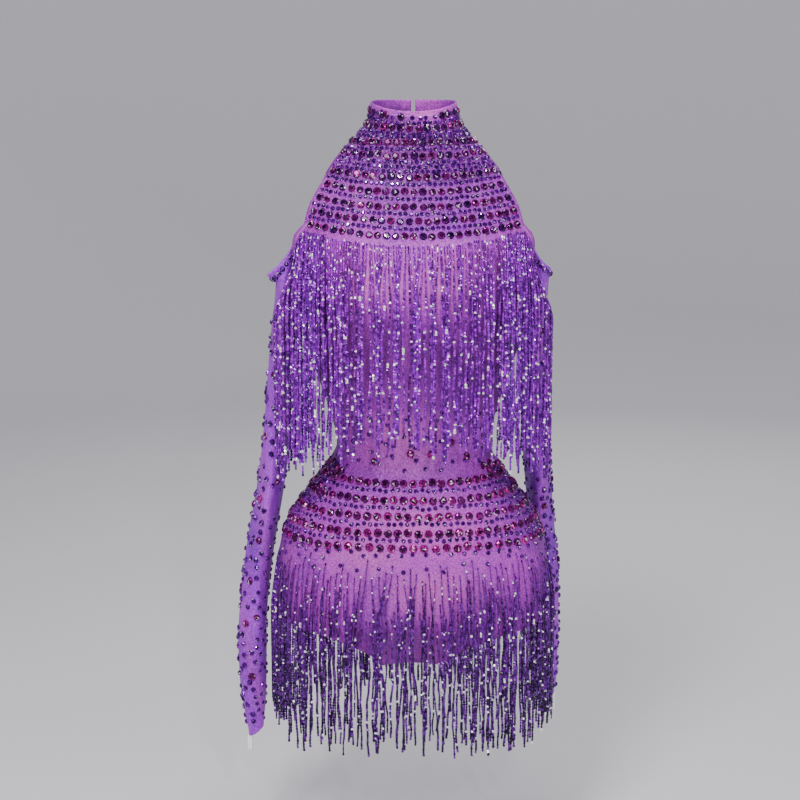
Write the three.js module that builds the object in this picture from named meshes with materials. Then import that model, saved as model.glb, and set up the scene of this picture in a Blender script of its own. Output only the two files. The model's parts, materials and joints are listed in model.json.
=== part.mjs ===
// A stage jumpsuit in stretch mesh: a high-necked halter body with short legs, rows of large flat-back
// stones over the yoke and round the hips, two curtains of bead fringe, and empty sleeves with finger loops.
// It keeps the hollow form of the worn garment. Millimetres, +Z up, the front faces -Y, and the wearer's
// right is -X. The origin is the middle of the collar, where the neck holds the garment up.
import * as THREE from "three";

// Driving dimensions
const clothThickness = 1.5;
const seamGap = 0.3;
const stoneRise = 2.4;
const stoneRadius = 4.4;
const yokeStonePitch = 10;
const hipStonePitch = 13.5;
const collarSideTop = 26;
const collarFrontDip = 12;
const neckSeam = -25;
const underarm = -160;
const legSideHem = -600;
const crotchSeam = -650;
const gussetDrop = 15;
const backOpeningTop = -30;
const backOpeningLength = 215;
const backOpeningHalfWidth = 46;
const napeGapHalfAngle = 2.2;
const elasticWidth = 6;
const elasticThickness = 0.9;
const loopDrop = 22;
const loopHalfGap = 3.5;
const stripWidth = 5;
const stripThickness = 1.4;
const strandWidth = 2.8;
const strandClearance = 1.6;
const endUnevenness = 26;
const columnAngle = 9;
const insideColumnAngle = 18;

const squareness = 0.93;
const cup = { angle: 33, height: -203, spreadAngle: 17, spreadHeight: 42, rise: 6 };
const dip = { from: 590, to: 655, depth: 0.4, spreadAngle: 17 };
const napeHook = { halfWidth: 6.5, halfHeight: 1.4, thickness: 1.1, heights: [17.5, -11.4] };

const radians = THREE.MathUtils.degToRad;

// The general figure that the cloth is cut for: half-width, and reach to the front and the back.
const bodySections = [
  { height: 40, halfWidth: 48, front: 49, back: 50 },
  { height: 13, halfWidth: 51, front: 49.6, back: 51.4 },
  { height: 0, halfWidth: 55, front: 50, back: 52 },
  { height: -10, halfWidth: 62, front: 51.5, back: 55 },
  { height: -25, halfWidth: 76, front: 54, back: 61 },
  { height: -32, halfWidth: 84, front: 56, back: 66 },
  { height: -42, halfWidth: 97, front: 59, back: 71 },
  { height: -55, halfWidth: 116, front: 62, back: 79 },
  { height: -74, halfWidth: 140, front: 69, back: 87 },
  { height: -95, halfWidth: 158, front: 80, back: 93 },
  { height: -113, halfWidth: 162, front: 89, back: 97 },
  { height: -135, halfWidth: 153, front: 101, back: 99 },
  { height: -160, halfWidth: 142, front: 112, back: 100 },
  { height: -205, halfWidth: 139, front: 122, back: 98 },
  { height: -250, halfWidth: 130, front: 113, back: 92 },
  { height: -300, halfWidth: 116, front: 96, back: 84 },
  { height: -345, halfWidth: 101, front: 83, back: 76 },
  { height: -388, halfWidth: 92, front: 78, back: 73 },
  { height: -411, halfWidth: 103, front: 82, back: 80 },
  { height: -441, halfWidth: 125, front: 89, back: 94 },
  { height: -483, halfWidth: 153, front: 96, back: 112 },
  { height: -510, halfWidth: 162, front: 97, back: 119 },
  { height: -535, halfWidth: 166, front: 97, back: 122 },
  { height: -590, halfWidth: 170, front: 95, back: 120 },
  { height: -620, halfWidth: 170, front: 92, back: 112 },
  { height: -700, halfWidth: 165, front: 84, back: 98 },
];

// How far round each panel reaches from its centre line, in degrees: to the neck seam, the halter edge,
// the side seam and then the leg edge. sideLift raises a row's ends above its middle.
const frontEdge = [
  { height: neckSeam, angle: 90, sideLift: 0 },
  { height: -40, angle: 74, sideLift: 4 },
  { height: -61, angle: 60, sideLift: 10 },
  { height: -78, angle: 52, sideLift: 15 },
  { height: -102, angle: 49, sideLift: 20 },
  { height: -126, angle: 50, sideLift: 23 },
  { height: -142, angle: 63, sideLift: 15 },
  { height: -154, angle: 76, sideLift: 6 },
  { height: underarm, angle: 90, sideLift: 0 },
  { height: legSideHem, angle: 90, sideLift: 0 },
  { height: -606, angle: 56, sideLift: 0 },
  { height: -614, angle: 33, sideLift: 0 },
  { height: -632, angle: 18, sideLift: 0 },
  { height: crotchSeam, angle: 12.5, sideLift: 0 },
];
const backEdge = [
  { height: neckSeam, angle: 90, sideLift: 0 },
  { height: -40, angle: 72, sideLift: 0 },
  { height: -61, angle: 56, sideLift: 0 },
  { height: -82, angle: 48, sideLift: 0 },
  { height: -102, angle: 47, sideLift: 0 },
  { height: -126, angle: 54, sideLift: 0 },
  { height: -142, angle: 66, sideLift: 0 },
  { height: -154, angle: 79, sideLift: 0 },
  { height: underarm, angle: 90, sideLift: 0 },
  { height: legSideHem, angle: 90, sideLift: 0 },
  { height: -610, angle: 58, sideLift: 0 },
  { height: -622, angle: 38, sideLift: 0 },
  { height: -636, angle: 22, sideLift: 0 },
  { height: crotchSeam, angle: 12.5, sideLift: 0 },
];

const collarStoneRows = [8, -6, -18];
const yokeStoneRows = [-34, -47, -61, -78, -94, -110, -126];
const hipStoneRows = [-420, -440, -459, -478, -496];

// A smooth line through a table's column, which keeps between the rows' values.
function column(table, key, height) {
  const last = table.length - 1;
  if (height >= table[0].height) return table[0][key];
  if (height <= table[last].height) return table[last][key];
  const i = table.findIndex((row) => row.height <= height) - 1;
  const slope = (k) =>
    (table[k + 1][key] - table[k][key]) / (table[k + 1].height - table[k].height);
  const tangent = (k) => {
    if (k === 0 || k === last) return 0;
    const [before, after] = [slope(k - 1), slope(k)];
    return before * after <= 0 ? 0 : (2 * before * after) / (before + after);
  };
  const span = table[i + 1].height - table[i].height;
  const t = (height - table[i].height) / span;
  const [t2, t3] = [t * t, t * t * t];
  return (
    (2 * t3 - 3 * t2 + 1) * table[i][key] +
    (t3 - 2 * t2 + t) * span * tangent(i) +
    (3 * t2 - 2 * t3) * table[i + 1][key] +
    (t3 - t2) * span * tangent(i + 1)
  );
}

// The bodice is cut with soft cups: the front bulges either side of the middle at bust height.
function cupRise(angle, height) {
  const across = Math.exp(-(((Math.abs(angle) - cup.angle) / cup.spreadAngle) ** 2));
  const down = Math.exp(-(((height - cup.height) / cup.spreadHeight) ** 2));
  return cup.rise * across * down;
}

// Between the legs the cloth draws in towards the gusset.
function legDip(angle, height) {
  const depth = THREE.MathUtils.smoothstep(-height, dip.from, dip.to) * dip.depth;
  return 1 - depth * Math.exp(-((angle / dip.spreadAngle) ** 2));
}

// A point of the figure: `side` is -1 for the front and 1 for the back, `angle` is from its centre line.
function bodyPoint(side, angle, height) {
  const [s, c] = [Math.sin(radians(angle)), Math.cos(radians(angle))];
  const reach = column(bodySections, side < 0 ? "front" : "back", height);
  const bulge = side < 0 ? cupRise(angle, height) : 0;
  return new THREE.Vector3(
    Math.sign(s) * Math.abs(s) ** squareness * column(bodySections, "halfWidth", height),
    side * (reach * legDip(angle, height) + bulge) * Math.max(c, 0) ** squareness,
    height,
  );
}

// Which way a surface faces at (u, v), by stepping a little each way. `turn` is 1 or -1.
function outwards(surface, u, v, turn) {
  const step = 1e-3;
  const [u0, u1] = [Math.max(u - step, 0), Math.min(u + step, 1)];
  const [v0, v1] = [Math.max(v - step, 0), Math.min(v + step, 1)];
  const across = surface(u1, v).sub(surface(u0, v));
  const down = surface(u, v1).sub(surface(u, v0));
  return across.cross(down).normalize().multiplyScalar(-turn);
}

// A solid under construction: points, and triangles between lines of points.
class Shell {
  constructor() {
    this.points = [];
    this.triangles = [];
  }

  line(points, places) {
    const first = this.points.length;
    this.points.push(...points);
    return points.map((_, k) => ({ index: first + k, place: places[k] }));
  }

  // Fills the gap between two lines, whose points may differ in number.
  zip(a, b, flip) {
    let [i, j] = [0, 0];
    while (i < a.length - 1 || j < b.length - 1) {
      const nextA = i < a.length - 1 ? a[i + 1].place : Infinity;
      const nextB = j < b.length - 1 ? b[j + 1].place : Infinity;
      const takeA = nextA <= nextB;
      const third = takeA ? a[i + 1].index : b[j + 1].index;
      const triangle = [a[i].index, b[j].index, third];
      this.triangles.push(flip ? triangle.reverse() : triangle);
      if (takeA) i += 1;
      else j += 1;
    }
  }

  geometry() {
    const position = this.points.flatMap((p) => [p.x, p.y, p.z]);
    const made = new THREE.BufferGeometry();
    made.setAttribute("position", new THREE.Float32BufferAttribute(position, 3));
    made.setIndex(this.triangles.flat());
    return made;
  }
}

// A wall of cloth. surface(u, v) is its inner face, with u from 0 to 1 across and v from 0 to 1 down.
// Each line is { v, count, rise }: the inner face is plain, and rise(k) lifts point k of an outer line.
function clothWall(surface, insideLines, outsideLines, options = {}) {
  const { turn = 1, base = 0, thickness = clothThickness, ring = false } = options;
  const shell = new Shell();
  const lay = (line, offset) => {
    const places = Array.from({ length: line.count + 1 }, (_, k) => k / line.count);
    const points = places.map((u, k) => {
      const lift = offset + (offset > base && line.rise ? line.rise(k) : 0);
      return surface(u, line.v).addScaledVector(outwards(surface, u, line.v, turn), lift);
    });
    if (ring) points[line.count].copy(points[0]);
    return shell.line(points, places);
  };
  const inside = insideLines.map((line) => lay(line, base));
  const outside = outsideLines.map((line) => lay(line, base + thickness));
  const flip = turn < 0;
  for (let r = 1; r < inside.length; r += 1) shell.zip(inside[r - 1], inside[r], !flip);
  for (let r = 1; r < outside.length; r += 1) shell.zip(outside[r - 1], outside[r], flip);
  const lowestInside = inside[inside.length - 1];
  const lowestOutside = outside[outside.length - 1];
  shell.zip(inside[0], outside[0], flip);
  shell.zip(lowestInside, lowestOutside, !flip);
  if (!ring) {
    const side = (lines, given, pick) =>
      lines.map((points, r) => ({ index: pick(points).index, place: given[r].v }));
    for (const [pick, turned] of [[(p) => p[0], !flip], [(p) => p[p.length - 1], flip]])
      shell.zip(side(inside, insideLines, pick), side(outside, outsideLines, pick), turned);
  }
  return shell.geometry();
}

// Along a row of stones, every other point stands on a stone and the rest between two.
const stoneRiseAt = (k) => (k % 2 ? stoneRise : stoneRise * 0.25);

// The lines of a panel's outer face: three for each row of stones, and plain ones between.
function panelLines(panel, stoneRows, plainHeights, columns) {
  const lines = plainHeights.map((height) => ({ height, count: columns(height) }));
  for (const { height, pitch } of stoneRows) {
    const stones = Math.round(panel.rowLength(height) / pitch);
    lines.push({ height: height + stoneRadius, count: columns(height) });
    lines.push({ height, count: 2 * stones, rise: stoneRiseAt });
    lines.push({ height: height - stoneRadius, count: columns(height) });
  }
  lines.sort((a, b) => b.height - a.height);
  return lines.map((line) => ({ ...line, v: panel.placeOf(line.height) }));
}

// A panel runs down the figure from `top` to `bottom`, between two angles that change with height.
function panelOn(side, edges, top, bottom, inner) {
  const placeOf = (height) => (top - height) / (top - bottom);
  const surface = (u, v) => {
    const height = top + (bottom - top) * v;
    const seam = THREE.MathUtils.radToDeg(seamGap / 2 / column(bodySections, "back", height));
    const outer = column(edges, "angle", height) - seam;
    const start = inner(height, outer);
    const angle = start + (outer - start) * u;
    const lift = column(edges, "sideLift", height) * Math.sin(radians(angle)) ** 2;
    return bodyPoint(side, angle, height + lift);
  };
  const rowLength = (height) => {
    const points = Array.from({ length: 25 }, (_, k) => surface(k / 24, placeOf(height)));
    return points.slice(1).reduce((sum, p, k) => sum + p.distanceTo(points[k]), 0);
  };
  return { surface, placeOf, rowLength };
}

const rowsAt = (heights, pitch) => heights.map((height) => ({ height, pitch }));
const spread = (from, to, count) =>
  Array.from({ length: count + 1 }, (_, k) => from + ((to - from) * k) / count);
const legHeights = [legSideHem, -606, -614, -623, -632, -641, crotchSeam];
const middleHeights = [-142, -150, underarm, ...spread(-180, -400, 9)];
const insideMiddle = [-48, -61, -78, -95, -112, -128, ...middleHeights, -411, -430, -450, -472, -495];

// Front panel, from one side seam to the other
const frontPanel = panelOn(-1, frontEdge, neckSeam, crotchSeam, (height, outer) => -outer);
const frontColumns = (step) => (height) =>
  Math.max(6, 2 * Math.round(column(frontEdge, "angle", height) / step));
const frontGeometry = clothWall(
  frontPanel.surface,
  [neckSeam, -36, ...insideMiddle, -520, -550, -580, ...legHeights].map((height) => ({
    v: frontPanel.placeOf(height),
    count: frontColumns(insideColumnAngle)(height),
  })),
  panelLines(
    frontPanel,
    [...rowsAt(yokeStoneRows, yokeStonePitch), ...rowsAt(hipStoneRows, hipStonePitch)],
    [neckSeam, ...middleHeights, -515, -548, -580, ...legHeights],
    frontColumns(columnAngle),
  ),
);

// Back panels, with a drop-shaped opening above the centre seam
function backOpeningAngle(height) {
  const down = THREE.MathUtils.clamp((backOpeningTop - height) / backOpeningLength, 0, 1);
  const halfGap = seamGap / 2 + backOpeningHalfWidth * Math.sin(Math.PI * down ** 1.25) ** 0.75;
  const atNape = height > backOpeningTop ? napeGapHalfAngle : 0;
  const halfWidth = column(bodySections, "halfWidth", height);
  return Math.max(THREE.MathUtils.radToDeg(Math.asin(halfGap / halfWidth)), atNape);
}
const backPanel = panelOn(1, backEdge, neckSeam, crotchSeam, backOpeningAngle);
const backColumns = (step) => (height) =>
  Math.max(4, Math.round(column(backEdge, "angle", height) / step));
const backTop = [neckSeam, -32, -40, -50, -61, -78, -95, -112, -128];
const backLow = [-215, -225, -235, -242, -246];
const mergeHeights = (...lists) =>
  [...new Set(lists.flat())].sort((a, b) => b - a);
const backInsideHeights = mergeHeights(
  backTop, middleHeights, backLow, [-411, -430, -450, -472, -495, -520, -550, -580], legHeights,
);
const backGeometry = clothWall(
  backPanel.surface,
  backInsideHeights.map((height) => ({
    v: backPanel.placeOf(height),
    count: backColumns(insideColumnAngle)(height),
  })),
  panelLines(
    backPanel,
    rowsAt(hipStoneRows, hipStonePitch),
    mergeHeights(backTop, middleHeights, backLow, [-515, -548, -580], legHeights),
    backColumns(columnAngle),
  ),
  { turn: -1 },
);

// The same solid on the other side of the middle, with its faces turned back to point outwards.
function mirrored(geometry) {
  const made = geometry.clone().scale(-1, 1, 1);
  const index = made.index.array;
  for (let k = 0; k < index.length; k += 3) [index[k], index[k + 1]] = [index[k + 1], index[k]];
  return made;
}

// Gusset, a short saddle that joins the front's lowest edge to the back panels'
function gussetSurface(u, v) {
  const across = 2 * u - 1;
  const frontPoint = frontPanel.surface(u, 1);
  const back = backPanel.surface(Math.abs(across), 1);
  const backPoint = new THREE.Vector3(Math.sign(across) * back.x, back.y, back.z);
  const point = frontPoint.lerp(backPoint, v);
  point.z -= 2 * seamGap + gussetDrop * Math.sin(Math.PI * v) ** 0.8 - 3 * across ** 2 * v * (1 - v);
  return point;
}
const gussetLines = spread(0, 1, 8).map((v) => ({ v, count: 6 }));
const gussetGeometry = clothWall(gussetSurface, gussetLines, gussetLines);

// Collar, a band round the neck whose ends meet at the nape
const collarBottom = neckSeam + seamGap + clothThickness * 0.4;
function collarTop(fromNape) {
  const facing = (1 - Math.cos(radians(fromNape))) / 2;
  return collarSideTop - collarFrontDip * facing ** 3;
}
function collarSurface(u, v) {
  const fromNape = napeGapHalfAngle + u * (360 - 2 * napeGapHalfAngle);
  const height = collarTop(fromNape) * (1 - v) + collarBottom * v;
  const turned = radians(fromNape);
  const side = Math.cos(turned) < 0 ? -1 : 1;
  const angle = THREE.MathUtils.radToDeg(Math.asin(Math.sin(turned)));
  return bodyPoint(side, angle, height);
}
const collarPlace = (height) => (collarSideTop - height) / (collarSideTop - collarBottom);
const collarRadiusInRows = collarPlace(0) - collarPlace(stoneRadius);
const collarColumns = 36;
const collarStones = 32;
const collarOutside = [{ v: 0, count: collarColumns }, { v: 1, count: collarColumns }];
for (const height of collarStoneRows) {
  const v = collarPlace(height);
  collarOutside.push({ v: v + collarRadiusInRows, count: collarColumns });
  collarOutside.push({ v: v - collarRadiusInRows, count: collarColumns });
  collarOutside.push({ v, count: 2 * collarStones, rise: stoneRiseAt });
}
collarOutside.sort((a, b) => a.v - b.v);
const collarInside = [0, 0.35, 0.7, 1].map((v) => ({ v, count: 24 }));
const collarGeometry = clothWall(collarSurface, collarInside, collarOutside, { turn: -1 });

// Empty sleeves that hang from the underarm. Each row gives the outer edge's height, the tube's middle,
// its half-width and half-depth, and how far its inner side rises above the outer one.
const rightSleeve = [
  { height: -181, x: -160.5, y: 14, halfWidth: 15.5, halfDepth: 36, rise: 38 },
  { height: -191, x: -155, y: 14, halfWidth: 10.5, halfDepth: 40, rise: 28 },
  { height: -206, x: -155.5, y: 15, halfWidth: 11, halfDepth: 42, rise: 17 },
  { height: -235, x: -158, y: 17, halfWidth: 12.5, halfDepth: 42, rise: 6 },
  { height: -300, x: -163, y: 19, halfWidth: 15, halfDepth: 40, rise: 0 },
  { height: -385, x: -170, y: 20, halfWidth: 15.5, halfDepth: 38, rise: 0 },
  { height: -450, x: -178, y: 20, halfWidth: 15.5, halfDepth: 37, rise: 0 },
  { height: -510, x: -188, y: 20, halfWidth: 16, halfDepth: 36, rise: 0 },
  { height: -575, x: -197, y: 20, halfWidth: 16, halfDepth: 35, rise: 0 },
  { height: -642, x: -202, y: 20, halfWidth: 16.5, halfDepth: 34, rise: 0 },
  { height: -700, x: -203, y: 20, halfWidth: 15.5, halfDepth: 28, rise: 2 },
  { height: -735, x: -202, y: 20, halfWidth: 13, halfDepth: 19, rise: 6 },
  { height: -760, x: -201, y: 20, halfWidth: 10, halfDepth: 11, rise: 10 },
  { height: -776, x: -200.5, y: 20, halfWidth: 8, halfDepth: 7, rise: 12 },
];
const leftSleeve = [
  { height: -176, x: 156, y: 26, halfWidth: 11, halfDepth: 36, rise: 30 },
  { height: -190, x: 154, y: 28, halfWidth: 10.5, halfDepth: 39, rise: 22 },
  { height: -210, x: 153, y: 33, halfWidth: 11, halfDepth: 40, rise: 14 },
  { height: -240, x: 152, y: 40, halfWidth: 12, halfDepth: 40, rise: 5 },
  { height: -300, x: 153, y: 46, halfWidth: 14.5, halfDepth: 39, rise: 0 },
  { height: -385, x: 156, y: 52, halfWidth: 15.5, halfDepth: 37, rise: 0 },
  { height: -450, x: 160, y: 64, halfWidth: 15, halfDepth: 34, rise: 0 },
  { height: -510, x: 166, y: 76, halfWidth: 14.5, halfDepth: 32, rise: 0 },
  { height: -575, x: 172.6, y: 85, halfWidth: 14.5, halfDepth: 31, rise: 0 },
  { height: -640, x: 174.8, y: 87, halfWidth: 14, halfDepth: 29, rise: 0 },
  { height: -685, x: 176, y: 87, halfWidth: 13, halfDepth: 24, rise: 2 },
  { height: -712, x: 177.5, y: 87, halfWidth: 12, halfDepth: 17, rise: 6 },
  { height: -733, x: 178, y: 87, halfWidth: 10, halfDepth: 10, rise: 10 },
  { height: -746, x: 177.5, y: 87, halfWidth: 8, halfDepth: 7, rise: 12 },
];

// Three soft lengthwise troughs that wind slowly down, where an empty tube of cloth falls into folds.
function sleeveFold(turned, height) {
  const [depth, turnLength] = [0.09, 90];
  const opening = THREE.MathUtils.smoothstep(-height, 200, 300);
  const closing = 1 - THREE.MathUtils.smoothstep(-height, 640, 740);
  return 1 - depth * opening * closing * Math.cos(3 * turned + height / turnLength);
}
function sleeveSurface(table) {
  const [top, low] = [table[0].height, table[table.length - 1].height];
  return (u, v) => {
    const height = top + (low - top) * v;
    const of = (key) => column(table, key, height);
    const towards = -Math.sign(of("x"));
    const turned = 2 * Math.PI * u;
    const facing = (1 + Math.cos(turned)) / 2;
    const fold = sleeveFold(turned, height);
    return new THREE.Vector3(
      of("x") + towards * of("halfWidth") * Math.cos(turned) * fold,
      of("y") + of("halfDepth") * Math.sin(turned) * fold,
      height + of("rise") * facing ** 1.6,
    );
  };
}
function sleeveGeometry(table, turn) {
  const [top, low] = [table[0].height, table[table.length - 1].height];
  const heights = mergeHeights(
    table.map((row) => row.height),
    spread(-340, -610, 4),
  );
  const lines = heights.map((height) => ({ v: (height - top) / (low - top), count: 14 }));
  return clothWall(sleeveSurface(table), lines, lines, { turn, ring: true });
}

// Finger loop: a flat elastic that hangs from the lowest point of the cuff and comes back up to it
function fingerLoopGeometry(table) {
  const tip = table[table.length - 1];
  const outwardSide = Math.sign(tip.x);
  const top = tip.height - seamGap;
  const x = tip.x + outwardSide * (tip.halfWidth + clothThickness / 2 - 0.6);
  const widths = [
    [0, 1], [0.2, 1.2], [0.45, 1.35], [0.7, 1.3], [0.9, 0.85], [1, 0],
    [0.9, -0.85], [0.7, -1.3], [0.45, -1.35], [0.2, -1.2], [0, -1],
  ];
  const path = new THREE.CatmullRomCurve3(
    widths.map(
      ([drop, width]) =>
        new THREE.Vector3(x, tip.y + width * loopHalfGap, top - drop * loopDrop),
    ),
  );
  const [halfWide, halfThick] = [elasticWidth / 2, elasticThickness / 2];
  const section = new THREE.Shape([
    new THREE.Vector2(-halfWide, -halfThick),
    new THREE.Vector2(halfWide, -halfThick),
    new THREE.Vector2(halfWide, halfThick),
    new THREE.Vector2(-halfWide, halfThick),
  ]);
  return new THREE.ExtrudeGeometry(section, { steps: 18, bevelEnabled: false, extrudePath: path });
}

// The same uneven share, from 0 to 1, for the same strand each time.
const uneven = (k, salt) => {
  const wave = Math.sin(k * 12.9898 + salt * 78.233) * 43758.5453;
  return wave - Math.floor(wave);
};

// Fringe lines: the angle from the centre line, the strip's height there and the strands' mean end.
const chestFringeLine = [
  { angle: -80, root: -160, end: -403 },
  { angle: -70, root: -148, end: -412 },
  { angle: -60, root: -133, end: -404 },
  { angle: -50, root: -122, end: -392 },
  { angle: -30, root: -129.5, end: -378 },
  { angle: 0, root: -135, end: -370 },
  { angle: 30, root: -129.5, end: -378 },
  { angle: 50, root: -122, end: -392 },
  { angle: 60, root: -133, end: -403 },
  { angle: 70, root: -148, end: -410 },
  { angle: 80, root: -160, end: -401 },
];
// The chest fringe's side strands fall over the front of the empty sleeves: how far out and forward.
const armholeHang = { out: 20, forward: 10 };
const plumbHang = { out: 0, forward: 0 };
const hipFringeLine = [
  { angle: -88.5, root: -528, end: -728 },
  { angle: -40, root: -533, end: -742 },
  { angle: 0, root: -536, end: -736 },
  { angle: 40, root: -533, end: -744 },
  { angle: 88.5, root: -528, end: -730 },
];

// Angles that part a line into equal lengths along the cloth.
function evenAngles(side, line, count) {
  const byAngle = line.map((row) => ({ ...row, height: -row.angle }));
  const rootAt = (angle) => column(byAngle, "root", -angle);
  const samples = spread(line[0].angle, line[line.length - 1].angle, 240);
  const points = samples.map((angle) => bodyPoint(side, angle, rootAt(angle)));
  const lengths = [0];
  for (let k = 1; k < points.length; k += 1)
    lengths.push(lengths[k - 1] + points[k].distanceTo(points[k - 1]));
  return spread(0, lengths[lengths.length - 1], count).map((length) => {
    const k = Math.min(Math.max(lengths.findIndex((l) => l >= length), 1), points.length - 1);
    const share = (length - lengths[k - 1]) / (lengths[k] - lengths[k - 1]);
    return samples[k - 1] + (samples[k] - samples[k - 1]) * share;
  });
}

// Where a strand hangs at `height`: plumb from the widest and deepest places that it has passed.
function hangingPoint(side, angle, root, height, sideways) {
  const passed = spread(root, Math.max(height, root - 90), 9).map((h) => bodyPoint(side, angle, h));
  const reachX = Math.max(...passed.map((p) => Math.abs(p.x)));
  const reachY = Math.max(...passed.map((p) => Math.abs(p.y)));
  const turn = Math.abs(angle);
  const fallen = THREE.MathUtils.smoothstep(root - height, 10, 70);
  const outward = sideways.out * THREE.MathUtils.smoothstep(turn, 45, 76) * fallen;
  const forward = sideways.forward * THREE.MathUtils.smoothstep(turn, 62, 80) * fallen;
  return new THREE.Vector3(Math.sign(angle) * (reachX + outward), side * (reachY + forward), height);
}

// A curtain of fringe is one body: a narrow strip beside the cloth, and three-sided strands from its
// lower edge that stand apart from each other.
function fringeGeometry(side, line, strandCount, bends, sideways) {
  const byAngle = line.map((row) => ({ ...row, height: -row.angle }));
  const at = (angle, key) => column(byAngle, key, -angle);
  const grid = evenAngles(side, line, 4 * strandCount);
  const backFace = clothThickness + 2 * seamGap;
  const lay = (angle, height, offset) => {
    const turned = radians(angle);
    const facing = new THREE.Vector3(Math.sin(turned), side * Math.cos(turned), 0);
    return bodyPoint(side, angle, height).addScaledVector(facing, offset);
  };
  const shell = new Shell();
  const lines = { backTop: [], frontTop: [], back: [], front: [] };
  const put = (name, place, point) => {
    lines[name].push({ index: shell.points.push(point) - 1, place });
  };
  const edges = (place) => {
    const angle = grid[place];
    const [top, low] = [at(angle, "root") + stripWidth / 2, at(angle, "root") - stripWidth / 2];
    return { angle, top, low };
  };
  const ends = [0, 4 * strandCount];
  const centres = Array.from({ length: strandCount }, (_, k) => 4 * k + 2);
  for (const place of [ends[0], ...centres, ends[1]]) {
    const { angle, top, low } = edges(place);
    put("backTop", place, lay(angle, top, backFace));
    put("frontTop", place, lay(angle, top, backFace + stripThickness));
    put("front", place, lay(angle, low, backFace + stripThickness));
  }
  const strandPlaces = centres.flatMap((place) => [place - 1, place + 1]);
  for (const place of [ends[0], ...strandPlaces, ends[1]]) {
    const { angle, low } = edges(place);
    put("back", place, lay(angle, low, backFace));
  }
  const flip = side > 0;
  shell.zip(lines.backTop, lines.back, !flip);
  shell.zip(lines.frontTop, lines.front, flip);
  shell.zip(lines.backTop, lines.frontTop, flip);
  for (let k = 0; k <= strandCount; k += 1)
    shell.zip(lines.back.slice(2 * k, 2 * k + 2), lines.front.slice(k, k + 2), !flip);
  for (const [pick, turned] of [[(l) => l[0], flip], [(l) => l[l.length - 1], !flip]]) {
    const corners = ["backTop", "frontTop", "front", "back"].map((name) => pick(lines[name]).index);
    for (const [i, j, k] of [[0, 1, 2], [0, 2, 3]]) {
      const triangle = [corners[i], corners[j], corners[k]];
      shell.triangles.push(turned ? triangle : triangle.reverse());
    }
  }
  for (let k = 0; k < strandCount; k += 1) {
    const { angle, low } = edges(centres[k]);
    const end = at(angle, "end") - endUnevenness * (uneven(k, side + 2) - 0.4);
    const sway = 0.8 * Math.sin(k * 0.9 + side);
    const turned = radians(angle);
    const facing = new THREE.Vector3(Math.sin(turned), side * Math.cos(turned), 0);
    const across = new THREE.Vector3(Math.cos(turned), -side * Math.sin(turned), 0);
    let upper = [lines.back[2 * k + 1], lines.front[k + 1], lines.back[2 * k + 2]];
    for (const height of [...bends.map((bend) => low - bend), end]) {
      const atEnd = height === end;
      const middle = hangingPoint(side, angle, at(angle, "root"), height, sideways);
      middle.addScaledVector(facing, backFace + strandClearance);
      if (atEnd) middle.addScaledVector(across, sway);
      const half = strandWidth * (atEnd ? 0.4 : 0.5);
      const corners = [
        middle.clone().addScaledVector(across, -half),
        middle.clone().addScaledVector(facing, strandWidth * 0.8),
        middle.clone().addScaledVector(across, half),
      ];
      const lower = corners.map((p, place) => ({ index: shell.points.push(p) - 1, place }));
      for (const c of [0, 1, 2]) {
        const d = (c + 1) % 3;
        const quad = [upper[c].index, lower[c].index, lower[d].index, upper[d].index];
        for (const [i, j, l] of [[0, 1, 2], [0, 2, 3]]) {
          const triangle = [quad[i], quad[j], quad[l]];
          shell.triangles.push(flip ? triangle.reverse() : triangle);
        }
      }
      upper = lower;
    }
    const cap = upper.map((corner) => corner.index);
    shell.triangles.push(flip ? cap : cap.reverse());
  }
  return shell.geometry();
}

// Two flat hooks that close the collar over the gap at the nape
function napeHookGeometry(height) {
  const { halfWidth, halfHeight, thickness } = napeHook;
  const arcCentre = halfWidth - halfHeight;
  const outline = new THREE.Shape();
  outline.absarc(arcCentre, 0, halfHeight, -Math.PI / 2, Math.PI / 2, false);
  outline.absarc(-arcCentre, 0, halfHeight, Math.PI / 2, (3 * Math.PI) / 2, false);
  const made = new THREE.ExtrudeGeometry(outline, {
    depth: thickness,
    bevelEnabled: false,
    curveSegments: 6,
  });
  const outermost = column(bodySections, "back", height - halfHeight) + clothThickness;
  made.rotateX(-Math.PI / 2);
  made.translate(0, outermost + 2 * seamGap, height);
  return made;
}

const meshCloth = { color: 0x9a62c4, roughness: 0.55, metalness: 0 };
const beadString = { color: 0x4b1f8c, roughness: 0.25, metalness: 0.5 };
const clearElastic = { color: 0xe6e4ea, roughness: 0.2, metalness: 0 };
const hookMetal = { color: 0xb9b9bf, roughness: 0.3, metalness: 1 };

const jumpsuit = new THREE.Group();
function add(name, geometry, finish) {
  const mesh = new THREE.Mesh(geometry, new THREE.MeshStandardMaterial(finish));
  mesh.name = name;
  jumpsuit.add(mesh);
}

add("collar", collarGeometry, meshCloth);
add("front", frontGeometry, meshCloth);
add("back_left", backGeometry, meshCloth);
add("back_right", mirrored(backGeometry), meshCloth);
add("gusset", gussetGeometry, meshCloth);
add("sleeve_right", sleeveGeometry(rightSleeve, 1), meshCloth);
add("sleeve_left", sleeveGeometry(leftSleeve, -1), meshCloth);
add("finger_loop_right", fingerLoopGeometry(rightSleeve), clearElastic);
add("finger_loop_left", fingerLoopGeometry(leftSleeve), clearElastic);
add("chest_fringe", fringeGeometry(-1, chestFringeLine, 76, [18, 42, 70], armholeHang), beadString);
add("hip_fringe_front", fringeGeometry(-1, hipFringeLine, 82, [28, 62], plumbHang), beadString);
add("hip_fringe_back", fringeGeometry(1, hipFringeLine, 82, [28], plumbHang), beadString);
add("nape_hook_upper", napeHookGeometry(napeHook.heights[0]), hookMetal);
add("nape_hook_lower", napeHookGeometry(napeHook.heights[1]), hookMetal);

export default jumpsuit;
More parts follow.
